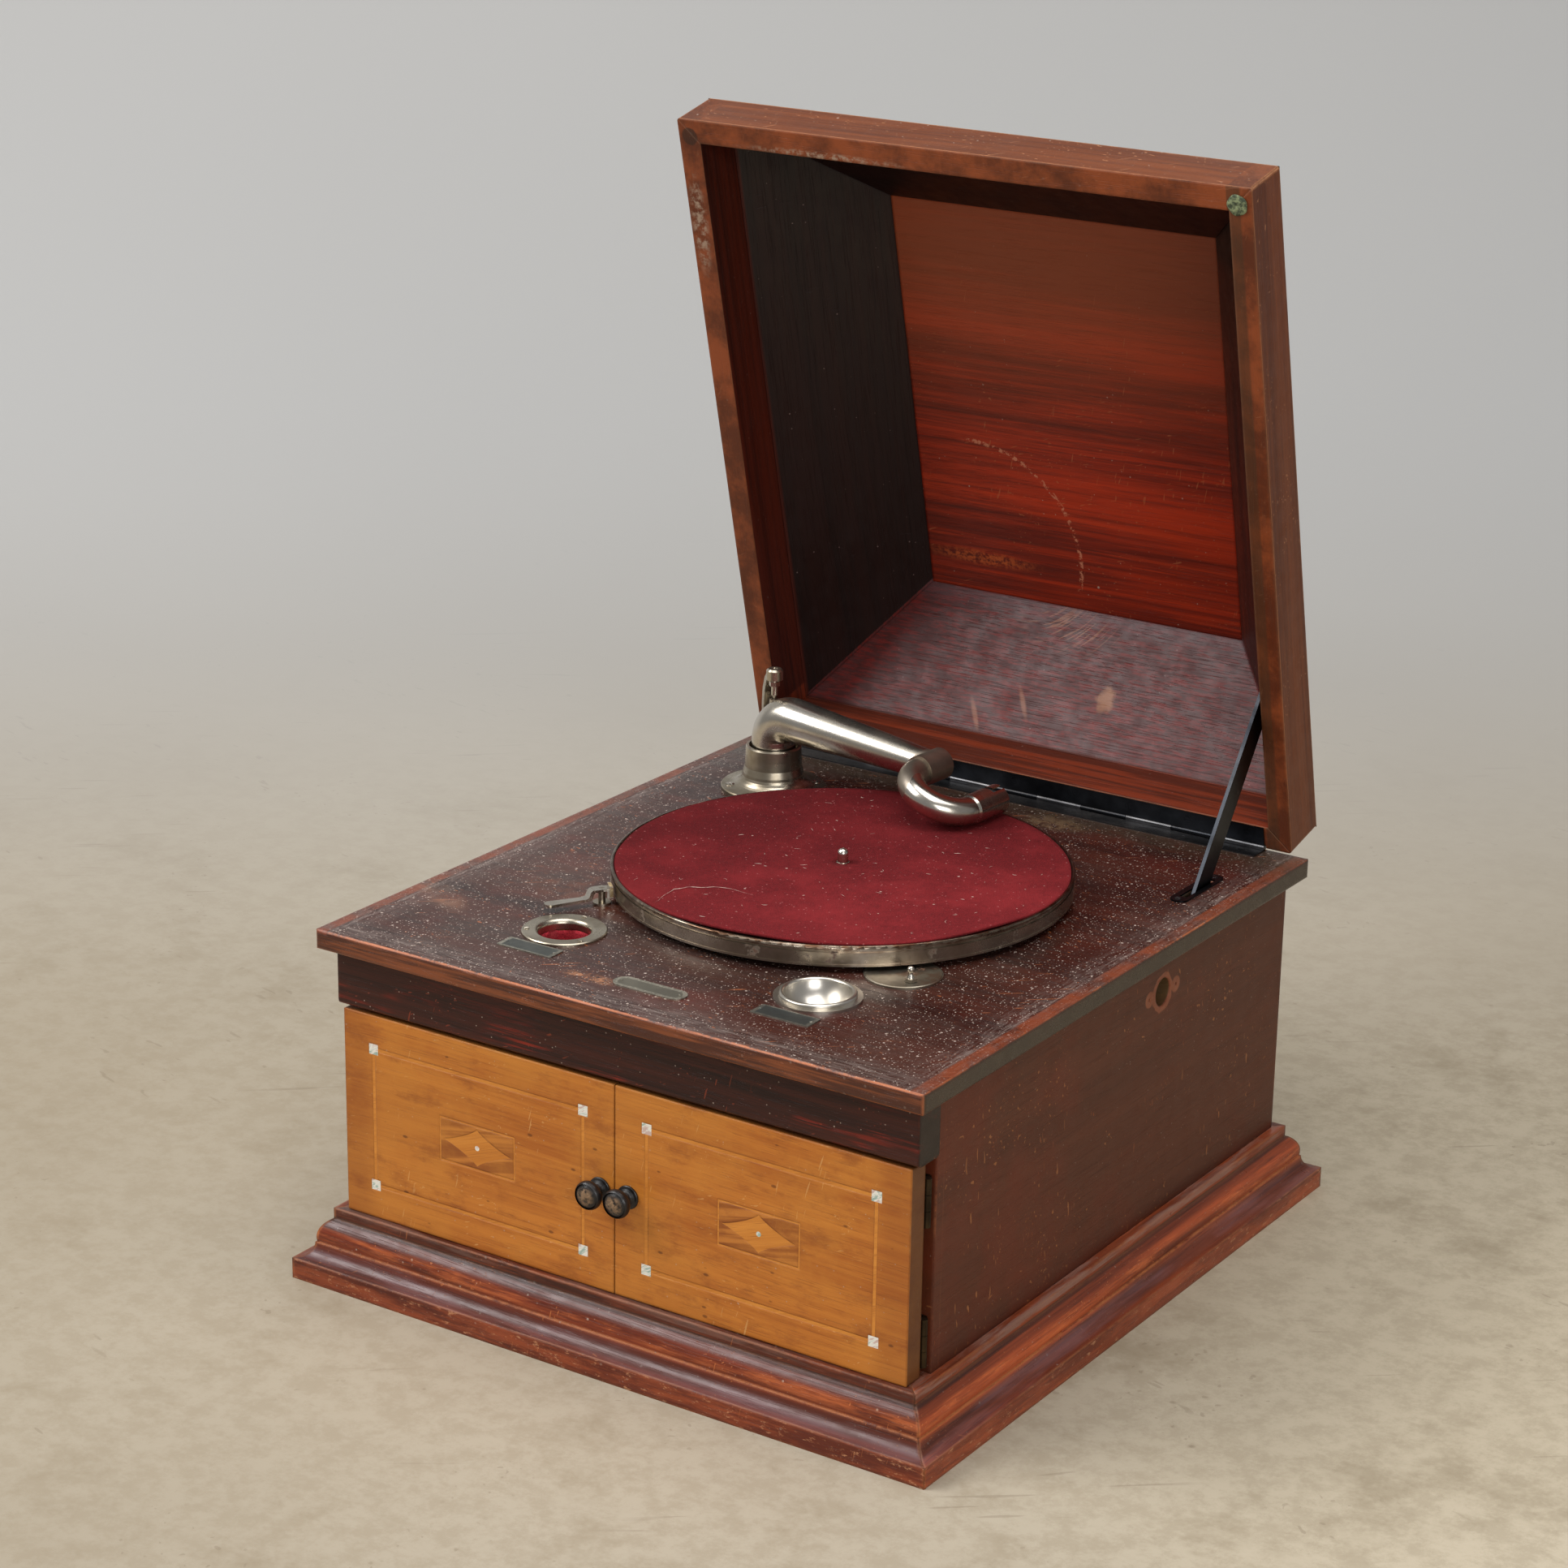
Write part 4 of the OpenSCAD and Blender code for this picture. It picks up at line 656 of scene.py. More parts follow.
def case_wood(net, point):
    """The pale ghost is a disc round the hole and one round each screw hole; the bored wall is raw wood, darkened as
    painted shade.
    """
    v = net.turn(point, (0, 0, 90))
    parts = old_wood(net, v, point, rgb(76, 36, 20), rgb(90, 44, 25), rgb(62, 30, 18), rgb(150, 84, 46),
                     figure=0.06, amount=0.34, dust=0.03, scratch=0.8, specks=0.07, gloss=0.4, spread=0.12)
    x, y, z = net.split(point)[:3]
    # a thin worn line at the front edge
    lip = net.step(net.abs(net.add(y, 0.2035)), 0.0006, 0.0002)
    net.paint(parts, lip, rgb(110, 60, 36), 0.6)

    def from_axis(at):
        """How far the point is from a line along X at this y, with what lies along the line counted less."""
        away = net.vec("SUBTRACT", point, (CRANK_HOLE[0], at, CRANK_HOLE[2]))
        return net.vec("LENGTH", net.vec("MULTIPLY", away, (0.3, 1.0, 1.0)))

    # the ghost of the ring with its ears, then the bored wall, raw wood darkened as painted shade
    hole = from_axis(CRANK_HOLE[1])
    worn = net.noise(point, 130, 3)
    away = net.add(hole, net.times(net.minus(worn, 0.5), 0.006))
    ears = [net.step(from_axis(at), 0.0062, 0.0048) for at in EARS]
    ghost = net.most(net.step(away, 0.0138, 0.0128), net.most(*ears))
    ghost = net.times(ghost, net.step(x, 0.2155, 0.2165))
    net.paint(parts, ghost, net.mix(worn, rgb(128, 66, 44), rgb(170, 104, 72)), 0.7)
    bored = net.times(net.step(hole, 0.0112, 0.0108), net.step(x, 0.2165, 0.2155))
    net.paint(parts, bored, net.mix(worn, rgb(62, 46, 28), rgb(112, 88, 56)), 0.9)
    # red clouds, long scratches, and a darkening low down, towards the plinth
    ember = net.patches(point, (7, 10, 10), 5, 0.65, 0.42, 0.66, (0.0, 0.55))
    net.paint(parts, ember, rgb(104, 40, 20))
    long = net.use(SCRATCHES, Vector=net.scale(point, 0.6), Amount=0.6)[0]
    net.paint(parts, long, rgb(168, 108, 62))
    low = net.step(z, 0.075, 0.05)
    net.paint(parts, low, rgb(34, 20, 15), 0.3)
    return parts


dress(material("case_wood", case_wood, 0.00012, **DRY), "left_side", "right_side")

# %% [markdown]
# ## Rail over the doors
#
# Its varnish is almost black. Red shows through in streaks low on the rail,
# where the doors have rubbed, so the streaks are weighted by height.


# %% Rail
def rail_wood(net, point):
    """The streaks are stretched noise inside patches, from a quarter of their strength up to all of it."""
    parts = old_wood(net, point, point, rgb(30, 14, 12), rgb(66, 28, 20), rgb(20, 10, 9), rgb(130, 56, 34),
                     figure=0.3, amount=0.3, dust=0.05, scratch=0.9, specks=0.1)
    side = net.abs(net.split(net.facing())[0])
    net.paint(parts, side, rgb(42, 34, 28), 0.85)
    z = net.split(point)[2]
    area = net.patches(point, (9, 14, 28), 3, 0.6, 0.48, 0.62)
    fiery = net.times(area, net.patches(point, (16, 260, 420), 4, 0.7, 0.46, 0.62))
    fiery = net.times(fiery, net.step(z, 0.216, 0.2, (0.25, 1.0)))
    net.paint(parts, fiery, rgb(140, 38, 22), 0.8)
    worn = net.times(net.step(z, 0.1935, 0.1915), net.patches(point, (60, 200, 200), 4, 0.7, 0.48, 0.6))
    net.paint(parts, worn, rgb(150, 92, 60), 0.7)
    return parts


dress(material("rail_wood", rail_wood, 0.00015, **DRY), "frieze_rail")

# %% [markdown]
# ## Plinth moulding
#
# A moulding wears by its profile: the belly is rubbed bright, the cove keeps
# a dull film under pale violet patches that are a painted reflection, the
# groove is dark and the foot is chipped. Height above the floor tells which
# part of the profile a point is on, so each part is a band of heights. The
# side rails run along Y, so their grain is turned, and they stand in less
# light, so they are mixed brighter, as painted light, with a brighter belly
# that is a painted highlight.

# %% Plinth
COVE, BELLY = (0.0115, 0.016, 0.0262, 0.019), (0.0255, 0.0285, 0.0365, 0.033)
BROW, GROOVE = (0.0335, 0.0365, 0.0395, 0.0385), (0.0385, 0.0395, 0.0425, 0.0415)


def plinth_wood(turned):
    """Gives the finish for the rails along X, or the turned one, painted brighter as painted light, for the rails
    along Y.
    """

    def build(net, point):
        """Each part of the profile is a band of heights with a colour of its own."""
        v = net.turn(point, (0, 0, 90 if turned else 0))
        # the rails along Y get brighter colours, painted light for the less light they stand in
        dark, light = (rgb(84, 30, 16), rgb(184, 84, 42)) if turned else (rgb(64, 23, 13), rgb(128, 52, 27))
        parts = old_wood(net, v, point, dark, light, rgb(36, 16, 12), rgb(196, 116, 64), figure=0.35,
                         amount=0.46, dust=0.06, scratch=1.0, specks=0.3, gloss=0.26)
        z = net.split(point)[2]
        rubbed = net.patches(v, (9, 80, 80), 5, 0.75, 0.44, 0.64)
        chips = net.patches(v, (130, 330, 330), 5, 0.8, 0.57, 0.65)
        # the cove: a dull film with pale violet patches that are a painted reflection
        cove = net.band(z, *COVE)
        sheen = net.patches(v, (7, 60, 60), 4, 0.6, 0.4, 0.62)
        net.paint(parts, cove, net.mix(sheen, rgb(50, 28, 24), rgb(94, 72, 76)), 0.7)
        # the belly is rubbed bright; on the rails along Y its brighter colour is also a painted highlight
        belly = net.band(z, *BELLY)
        net.paint(parts, net.times(belly, rubbed), rgb(220, 116, 62) if turned else rgb(186, 98, 52), 0.7)
        net.paint(parts, net.band(z, *BROW), rgb(50, 22, 15), 0.45)
        foot = net.step(z, 0.0145, 0.0135)
        net.paint(parts, foot, net.mix(rubbed, rgb(84, 30, 18), rgb(158, 76, 42)), 0.6)
        net.paint(parts, net.times(foot, chips), rgb(196, 138, 98), 0.7)
        # the groove is painted dark
        net.paint(parts, net.band(z, *GROOVE), rgb(36, 26, 22), 0.75)
        fillet = net.step(z, 0.0415, 0.0425)
        net.paint(parts, fillet, net.mix(rubbed, rgb(48, 22, 15), rgb(124, 62, 36)), 0.5)
        powder = net.times(net.step(z, 0.0432, 0.044), net.patches(v, (14, 120, 120), 5, 0.7, 0.44, 0.62))
        net.paint(parts, net.times(powder, 0.5 if turned else 0.2), rgb(150, 124, 112))
        return parts

    return build


dress(material("plinth_wood_x", plinth_wood(False), 0.00015, Specular_IOR_Level=0.4), "plinth_front_back")
dress(material("plinth_wood_y", plinth_wood(True), 0.00015, Specular_IOR_Level=0.4), "plinth_sides")

# %% [markdown]
# ## Doors
#
# The doors are faced with a golden veneer. A small panel in the middle of
# each has a darker, slanting grain, and thin lines of a paler wood are let
# in. The doors mirror each other, so what belongs to a door is placed by the
# distance from its middle and drawn once for both.

# %% Doors
DOOR_MIDDLE, DOOR_FACE = (0.1075, 0.119), (-0.2345, -0.2355)


def door_wood(net, point):
    """The middle panel is a box of distances from the door's middle; stains and nicks lie over it, and what lies
    behind the door's face is painted dark as painted shade.
    """
    parts = old_wood(net, point, point, rgb(160, 88, 32), rgb(192, 118, 46), rgb(112, 60, 26),
                     rgb(212, 160, 98), figure=0.15, radius=0.002, amount=0.28, dust=0.03, scratch=0.8,
                     specks=0.07)
    x, y, z = net.split(point)[:3]
    across, up = net.off(net.abs(x), DOOR_MIDDLE[0]), net.off(z, DOOR_MIDDLE[1])
    inside = net.times(net.step(across, 0.0293, 0.029), net.step(up, 0.0146, 0.0143))
    inside = net.times(inside, net.step(y, *DOOR_FACE))
    bands = net.step(net.noise(net.turn(point, (0, 12, 0)), (10, 10, 190), 2, 0.5, 0.4), 0.42, 0.6)
    panel = net.mix(bands, rgb(138, 76, 32), rgb(186, 116, 50))
    net.paint(parts, inside, panel, 0.9)
    golden = net.patches(point, (14, 14, 16), 5, 0.65, 0.4, 0.64)
    net.paint(parts, golden, rgb(196, 128, 52), 0.5)
    stain = net.patches(point, (26, 26, 60), 5, 0.7, 0.5, 0.72, (0.0, 0.6))
    net.paint(parts, stain, rgb(136, 72, 30))
    dim = net.step(net.abs(x), 0.182, 0.204, (0.0, 0.35))
    net.paint(parts, dim, rgb(128, 68, 30))
    nicks = net.use(SPECKS, Vector=net.scale(point, (1, 1, 2)), Density=60.0, Size=0.14, Share=0.2)[0]
    net.paint(parts, nicks, rgb(84, 44, 22), 0.65)
    # painted shade: the door's edges and what lies behind its face are mixed dark
    depth = net.step(y, *DOOR_FACE[::-1])
    net.paint(parts, depth, rgb(58, 36, 24), 0.7)
    return parts


def line_wood(net, point):
    """A pale grain, slanted so that it doesn't line up with the veneer."""
    grain = net.use(GRAIN, Vector=net.turn(point, (0, 20, 0)), Dark=rgb(184, 112, 42),
                    Light=rgb(206, 134, 56), Pore=rgb(150, 86, 36), Figure=0.2)
    return {"Color": grain[0], "Height": grain[1], "Roughness": net.step(grain[1], -0.6, 0.6, (0.4, 0.5))}


dress(material("door_wood", door_wood, 0.0001, **DRY), "left_door", "right_door")
dress(material("line_wood", line_wood, 0.0001, **DRY), "left_door_lines", "right_door_lines")

# %% [markdown]
# ## The slope by the hinge
#
# The lid stands open, but its marks are easier to place on a shut lid, where
# the axes run along its boards. `lid_frame` turns a point back. The slope by
# the hinge looks up while the lid is open. It has a grey haze over short red
# streaks, and scuffs from what was leant on it. A scuff is swept round a
# centre, so its lines are noise over the distance from that centre.


# %% The slope by the hinge
def lid_frame(net, point):
    """The point as (across, minus the way from the hinge, height above the rim) of the shut lid, metres."""
    hinge = tuple(a / 1000 for a in HINGE)
    return net.turn(net.vec("SUBTRACT", point, hinge), (math.degrees(LID_OPEN), 0, 0))


TAILS = ((0.0027, -0.0439, 0.0591), (-0.0315, -0.0571, 0.0484))


def rear_slope(net, v, run):
    """The slope by the hinge: short red and slate streaks under a haze, with scuffs down to bare wood."""
    # streaked wood under a haze, paler towards the panel
    red = net.patches(run, (70, 420, 420), 4, 0.75, 0.44, 0.62)
    slate = net.patches(run, (90, 560, 560), 4, 0.75, 0.42, 0.6)
    cloud = net.patches(v, 13, 4, 0.6, 0.35, 0.68, (0.15, 0.5))
    wood = net.mix(red, rgb(72, 31, 28), rgb(114, 32, 26))
    wood = net.mix(net.times(cloud, net.step(slate, 0.0, 1.0, (0.3, 1.0))), wood, rgb(88, 54, 54))
    upper = net.step(net.split(v)[2], 0.1, 0.1115, (0.0, 0.4))
    wood = net.mix(upper, wood, rgb(98, 74, 77))
    # a bare patch with a ragged border, and swept scuffs with their tails
    drawn = net.put("ShaderNodeTexNoise", {"Vector": v, "Scale": 150.0}, out=1)
    ragged = net.vec("ADD", v, net.scale(drawn, 0.011))
    patch = net.blob(ragged, (0.0427, -0.0405, 0.0743), (0.0058, 0.0095, 0.0095), 0.45)
    swept = net.vec("LENGTH", net.vec("SUBTRACT", v, (-0.045, -0.11, 0.1336)))
    lines = net.noise(net.join(swept, net.split(v)[0]), (420, 40, 1), 3, 0.6)
    zone = net.blob(v, (-0.008, -0.078, 0.1008), (0.032, 0.014, 0.014), 0.6)
    tails = [net.blob(net.turn(v, (0, 0, 38)), at, (0.0016, 0.01, 0.012), 0.6) for at in TAILS]
    scuff = net.most(net.times(zone, net.step(lines, 0.53, 0.6)), net.most(*tails))
    wood = net.mix(net.times(scuff, 0.6), wood, rgb(160, 108, 84))
    return net.mix(net.times(patch, 0.9), wood, rgb(152, 104, 76))


print(len(TAILS), "tails of scuffs on the slope")

# %% [markdown]
# ## Lid
#
# Four boards make the rim and four the slopes. Outside they are varnished
# brown, inside dark, with painted shade that makes the left slope and the far
# end nearly black, and the edge that closes on the deck is rubbed and
# crusted. One material serves all eight: the way a surface faces tells
# inside from outside, and the height above the rim tells rim from slope.


# %% Lid
def lid_wood(net, point):
    """Outer wood, inner wood and the closing edge are three colours, picked by facing and by height."""
    v = lid_frame(net, point)
    # outward is 1 on faces that look away from the lid's middle; run turns the grain along each board
    side = net.turn(net.facing(), (math.degrees(LID_OPEN), 0, 0))
    middle = net.vec("SUBTRACT", v, (0.0, -0.24045, 0.02))
    outward = net.step(net.vec("DOT_PRODUCT", side, middle), -0.01, 0.01)
    along_side = net.math("GREATER_THAN", net.abs(net.split(side)[0]), 0.5)
    x, l, d = net.split(v)[:3]
    rim_side = net.math("GREATER_THAN", net.abs(x), 0.1988)
    run = net.mix(net.most(along_side, rim_side), v, net.turn(v, (0, 0, 90)))
    outer = old_wood(net, run, point, rgb(82, 39, 19), rgb(116, 60, 29), rgb(60, 28, 16), rgb(190, 132, 90),
                     figure=0.25, radius=0.0025, amount=0.5, dust=0.08, scratch=0.8, specks=0.2, gloss=0.34)
    grain = net.use(GRAIN, Vector=run, Dark=rgb(44, 17, 12), Light=rgb(80, 30, 18), Pore=rgb(28, 12, 10),
                    Figure=0.3)
    # inner faces: dark, with the left slope and the far end painted nearly black as painted shade, but for the slope
    # by the hinge and the sill below it
    slope = net.step(d, 0.039, 0.041)
    off_slope = net.abs(net.add(net.minus(0.0, l), net.minus(0.0228, d)))
    rear = net.times(net.step(off_slope, 0.003, 0.002), slope)
    shade = net.most(net.step(x, -0.1, -0.115), net.step(l, -0.37, -0.385))
    shade = net.times(net.times(shade, slope), 0.88)
    inner = net.mix(rear, net.mix(shade, grain[0], rgb(19, 10, 8)), rear_slope(net, v, run))
    streaks = net.patches(run, (5, 160, 160), 4, 0.7, 0.45, 0.62)
    sill = net.times(net.step(l, -0.03, -0.028), net.step(d, 0.0395, 0.0385))
    inner = net.mix(net.times(sill, 0.8), inner, net.mix(streaks, rgb(84, 36, 22), rgb(128, 52, 28)))
    # the edge that closes on the deck: a line of olive dirt, crusts, and the stain of a lost buffer
    face = net.step(d, 0.0006, 0.0002)
    cloudy = net.patches(v, 22, 5, 0.7, 0.38, 0.64)
    edge = net.mix(cloudy, rgb(84, 38, 18), rgb(138, 68, 34))
    olive = net.times(net.step(x, 0.1975, 0.1985), net.step(x, 0.2085, 0.2065))
    edge = net.mix(net.times(olive, 0.6), edge, rgb(58, 42, 26))
    flaked = net.patches(v, 150, 5, 0.75, 0.44, 0.6)
    crust = net.most(net.blob(v, (-0.2085, -0.405, 0.0), (0.0055, 0.03, 0.01), 0.5),
                     net.blob(v, (-0.1, -0.4665, 0.0), (0.05, 0.0022, 0.01), 0.6))
    edge = net.mix(net.times(crust, flaked), edge, rgb(158, 134, 114))
    spot = net.blob(v, (-0.2073, -0.4687, 0.0), (0.0062, 0.0062, 0.01), 0.12)
    edge = net.mix(net.times(spot, 0.8), edge, rgb(38, 26, 20))
    # the edge and the inner wood are laid over the outer wood
    net.paint(outer, face, edge, 0.85)
    hidden = net.times(net.minus(1.0, outward), net.minus(1.0, face))
    fine = net.use(SPECKS, Vector=point, Density=300.0, Size=0.16, Share=0.1)[0]
    net.paint(outer, hidden, net.mix(net.times(fine, 0.4), inner, rgb(160, 136, 130)))
    return outer


dress(material("lid_wood", lid_wood, 0.00014, **DRY), "lid_rim_sides", "lid_rim_ends", "lid_slopes_sides",
      "lid_slopes_ends")

# %% [markdown]
# ## Panel of the lid
#
# Inside, the panel is bright red with dark bands and fades to brown at the
# far end. Something that turned once touched it and drew an arc, so the arc
# is a narrow range of distance from one point, broken up by noise. Outside,
# the panel is finished like the rest of the lid.

# %% Panel
ARC_CENTRE, ARC_RADIUS = (-0.0837, -0.1261, 0.1123), 0.0847


def panel_wood(net, point):
    """Red bands that fade along the length, the arc, and the outer finish beyond the panel's middle."""
    v = lid_frame(net, point)
    parts = old_wood(net, v, point, rgb(92, 24, 12), rgb(166, 47, 18), rgb(62, 19, 12), rgb(172, 104, 66),
                     figure=0.45, amount=0.2, dust=0.03, scratch=0.6, specks=0.06, gloss=0.34, spread=0.12)
    x, l, d = net.split(v)[:3]
    finish = net.use(GRAIN, Vector=v, Dark=rgb(82, 39, 19), Light=rgb(116, 60, 29), Pore=rgb(60, 28, 16),
                     Figure=0.25)
    outside = net.step(d, 0.1131, 0.1139)
    # dark bands, bright bands, and brown towards the far end
    bands = net.patches(v, (2.4, 130, 130), 5, 0.7, 0.5, 0.64)
    low = net.step(l, -0.36, -0.2, (0.3, 1.0))
    net.paint(parts, net.times(bands, low), rgb(66, 22, 14), 0.45)
    bright = net.patches(v, (3.5, 170, 170), 5, 0.7, 0.54, 0.66, (0.0, 0.45))
    net.paint(parts, net.times(bright, net.step(l, -0.33, -0.13)), rgb(182, 56, 22))
    net.paint(parts, net.step(l, -0.2, -0.39, (0.0, 0.8)), rgb(146, 72, 40))
    # the arc and its fainter inner side, kept to a quarter of the circle
    centre = net.vec("LENGTH", net.vec("SUBTRACT", v, ARC_CENTRE))
    broken = net.noise(v, 240, 4, 0.7)
    main = net.step(net.off(centre, ARC_RADIUS), 0.0022, 0.0008)
    side = net.step(net.off(centre, 0.074), 0.01, 0.008)
    arc = net.most(net.times(main, net.step(broken, 0.5, 0.56)),
                   net.times(net.times(side, net.step(l, -0.15, -0.16)), net.step(broken, 0.66, 0.7)))
    near = net.times(net.step(x, -0.09, -0.08), net.step(l, -0.1, -0.108))
    net.paint(parts, net.times(arc, near), rgb(190, 122, 92), 0.75)
    streak = net.blob(v, (-0.081, -0.117, 0.1123), (0.036, 0.005, 0.02), 0.6)
    streak = net.times(streak, net.step(broken, 0.4, 0.6))
    net.paint(parts, streak, rgb(206, 98, 46), 0.6)
    net.paint(parts, outside, finish[0], 0.92)
    return parts


dress(material("panel_wood", panel_wood, 0.00012, **DRY), "lid_top")

# %% [markdown]
# ## Inner boards and knobs
#
# Wood that nobody sees is left raw and gathers dust. The knobs are turned
# and blackened, and fingers have rubbed their faces back to the wood.


# %% Inner boards and knobs
def inner_wood(net, point):
    """Raw, pale boards with dust and nearly no wear."""
    return old_wood(net, point, point, rgb(98, 64, 40), rgb(140, 98, 64), rgb(72, 46, 30), rgb(168, 128, 92),
                    figure=0.3, amount=0.1, dust=0.5, scratch=0.3, specks=0.1)


def knob_wood(net, point):
    """Black paint, rubbed back to the grain on the face that points forward."""
    y = net.split(point)[1]
    grain = net.use(GRAIN, Vector=net.turn(point, (0, 30, 0)), Dark=rgb(96, 72, 52), Light=rgb(160, 128, 96),
                    Pore=rgb(60, 42, 30), Figure=0.3)
    rubbed = net.noise(point, 190, 4, 0.7)
    face = net.times(net.step(y, -0.2512, -0.253), net.step(rubbed, 0.38, 0.56))
    colour = net.mix(net.times(face, 0.85), rgb(20, 17, 17), grain[0])
    return {"Color": colour, "Height": rubbed, "Roughness": net.step(rubbed, 0.3, 0.7, (0.25, 0.5))}


dress(material("inner_wood", inner_wood, 0.0003, **DRY), "bottom_board", "back_panel", "horn_mouth_board")
dress(material("knob_wood", knob_wood, 0.0002), "left_knob", "right_knob")

# %% [markdown]
# ## Plain metals
#
# Plate and steel dull in clouds before they rust in spots, and dust on metal
# is not metallic. The plain metals differ only in numbers, so they are one
# table: bump, bright colour, dulled colour, rust colour, amount of rust,
# range of roughness, dust.


# %% Plain metals
def metal(base, dull, rusty, rust, rough, dust=0.1):
    """Plated or bare metal: a haze dulls it in clouds, rust spots break it, and dust lies on top."""

    def build(net, point):
        """Haze, then rust, then dust; what covers the metal isn't metallic and is rougher by 0.4."""
        old = net.use(RUST, Vector=point, Amount=rust)
        dirt = net.use(DUST, Vector=point, Amount=dust)[0]
        lines = net.use(SCRATCHES, Vector=net.scale(point, 3), Amount=1.0)[0]
        colour = net.mix(old[1], base, dull)
        colour = net.mix(net.times(old[0], 0.9), colour, rusty)
        colour = net.mix(dirt, colour, rgb(150, 140, 130))
        cover = net.most(old[0], dirt)
        shine = net.add(net.times(old[1], 0.5), net.times(lines, 0.3))
        fine = net.noise(point, (40, 900, 900), 2)
        return {"Color": colour, "Metallic": net.minus(1.0, cover),
                "Roughness": net.add(net.step(shine, 0.0, 0.8, rough), net.times(cover, 0.4)),
                "Height": net.add(net.times(fine, 0.05), net.times(old[0], 0.25))}

    return build


METAL_TABLE = {
    "dull_nickel": (0.00015, (188, 179, 162), (142, 130, 110), (92, 66, 48), -0.02, (0.26, 0.46), 0.2),
    "cup_nickel": (0.00008, (214, 208, 198), (176, 168, 154), (96, 66, 44), -0.06, (0.28, 0.4), 0.1),
    "dull_steel": (0.0001, (92, 92, 94), (58, 58, 60), (70, 48, 38), 0.0, (0.3, 0.5), 0.3),
    "black_steel": (0.0001, (44, 46, 50), (26, 27, 30), (66, 46, 38), -0.04, (0.28, 0.45), 0.15),
    "motor_iron": (0.0002, (110, 110, 112), (80, 80, 82), (84, 54, 38), 0.03, (0.35, 0.6), 0.3),
    "horn_sheet": (0.0002, (72, 68, 62), (48, 46, 42), (88, 56, 38), 0.0, (0.4, 0.6), 0.3),
    "brass": (0.0001, (196, 158, 92), (146, 112, 62), (90, 70, 40), 0.0, (0.2, 0.45), 0.2),
    # hinge_brass is mixed nearly black, as painted shade on the hinges in the slit between the doors
    "hinge_brass": (0.0001, (74, 60, 42), (44, 36, 28), (38, 30, 24), 0.05, (0.4, 0.6), 0.2),
}
METALS = {name: material(name, metal(rgb(*bright), rgb(*dulled), rgb(*rusty), *rest), bump)
          for name, (bump, bright, dulled, rusty, *rest) in METAL_TABLE.items()}
dress(METALS["dull_nickel"], "tonearm_base", "needle_ring", "brake_post", "motor_bolts")
dress(METALS["cup_nickel"], "needle_cup")
dress(METALS["dull_steel"], "hinge_deck_leaf", "stay_stud", "winding_shaft", "barrel_arbor", "ratchet_click",
      "governor_shaft", "motor_pillars")
dress(METALS["black_steel"], "hinge_lid_leaf", "lid_stay", "stay_plate")
dress(METALS["motor_iron"], "motor_top_plate", "motor_bottom_plate", "spring_barrel", "horn_elbow")
dress(METALS["horn_sheet"], "horn")
dress(METALS["brass"], "intermediate_gear", "governor_weights")
dress(METALS["hinge_brass"], "left_door_hinges", "right_door_hinges", "door_hinge_frames")

# %% [markdown]
# ## Nickel of the tonearm
#
# Most of the arm is still bright, because hands polish it. The cross tube
# and the sleeve that turns in it have gone brown. They could be cut off as
# pieces of their own, but distance from the tube's axis marks them too.

# %% Nickel of the tonearm
CROSS_TUBE, TUBE_AXIS = (-0.008729, 0.143085, 0.2911), (-0.087156, -0.996195, 0.0)


def arm_nickel(net, point):
    """Polished nickel that has gone dull and brownish on the cross tube and the sleeve that turns in it."""
    parts = metal(rgb(212, 205, 194), rgb(182, 174, 160), rgb(96, 66, 44), -0.07, (0.2, 0.34))(net, point)
    away = net.vec("LENGTH", net.vec("CROSS_PRODUCT", net.vec("SUBTRACT", point, CROSS_TUBE), TUBE_AXIS))
    tube = net.step(away, 0.013, 0.0122)
    bloom = net.noise(point, 120, 4, 0.6)
    net.paint(parts, tube, net.mix(bloom, rgb(112, 98, 84), rgb(164, 150, 134)), 0.75)
    parts["Roughness"] = net.add(parts["Roughness"], net.times(tube, 0.16))
    return parts


NICKEL = material("nickel", arm_nickel, 0.0001)
dress(NICKEL, "tonearm", "gooseneck", "pivot_screw", "brake_lever", "speed_lever", "spindle")

# %% [markdown]
# ## Rim of the turntable
#
# The band under the felt is nickel that has rusted from its lip down. The
# lip is brown all round, rust with painted shadow under the felt's edge,
# runs of rust start from it in patches, and inside the lip, where the felt
# has drawn back, the metal is painted dark, as painted shadow under the
# felt's lifted edge, with dirt.


# %% Rim of the turntable
def rim_metal(net, point):
    """The platter's band: dull nickel, brown along the lip with rust and painted shadow, rust that runs down from it
    in patches, and painted shadow inside the lip.
    """
    worn = metal(rgb(184, 172, 156), rgb(134, 120, 104), rgb(84, 52, 36), 0.01, (0.26, 0.4), 0.06)
    parts = worn(net, point)
    z = net.split(point)[2]
    patch = net.noise(point, (60, 60, 160), 5, 0.7)
    # the lip: rust and painted shadow under the felt's edge, mixed brown
    lip = net.times(net.step(z, 0.2606, 0.2618), net.step(patch, 0.34, 0.56, (0.45, 0.9)))
    net.paint(parts, lip, rgb(92, 76, 62))
    run = net.times(net.step(z, 0.256, 0.2606), net.step(patch, 0.5, 0.6))
    away = net.vec("SUBTRACT", point, (SPINDLE[0] / 1000, SPINDLE[1] / 1000, 0.0))
    around = net.vec("LENGTH", net.vec("MULTIPLY", away, (1, 1, 0)))
    # inside the lip: painted shadow under the felt's lifted edge, with dirt, mixed dark
    inner = net.times(net.step(around, 0.1502, 0.1494), net.step(z, 0.256, 0.257))
    net.paint(parts, inner, rgb(46, 36, 30), 0.9)
    net.paint(parts, run, rgb(92, 60, 40), 0.7)
    return parts


RIM_NICKEL = material("rim_nickel", rim_metal, 0.00003)
dress(RIM_NICKEL, "platter")

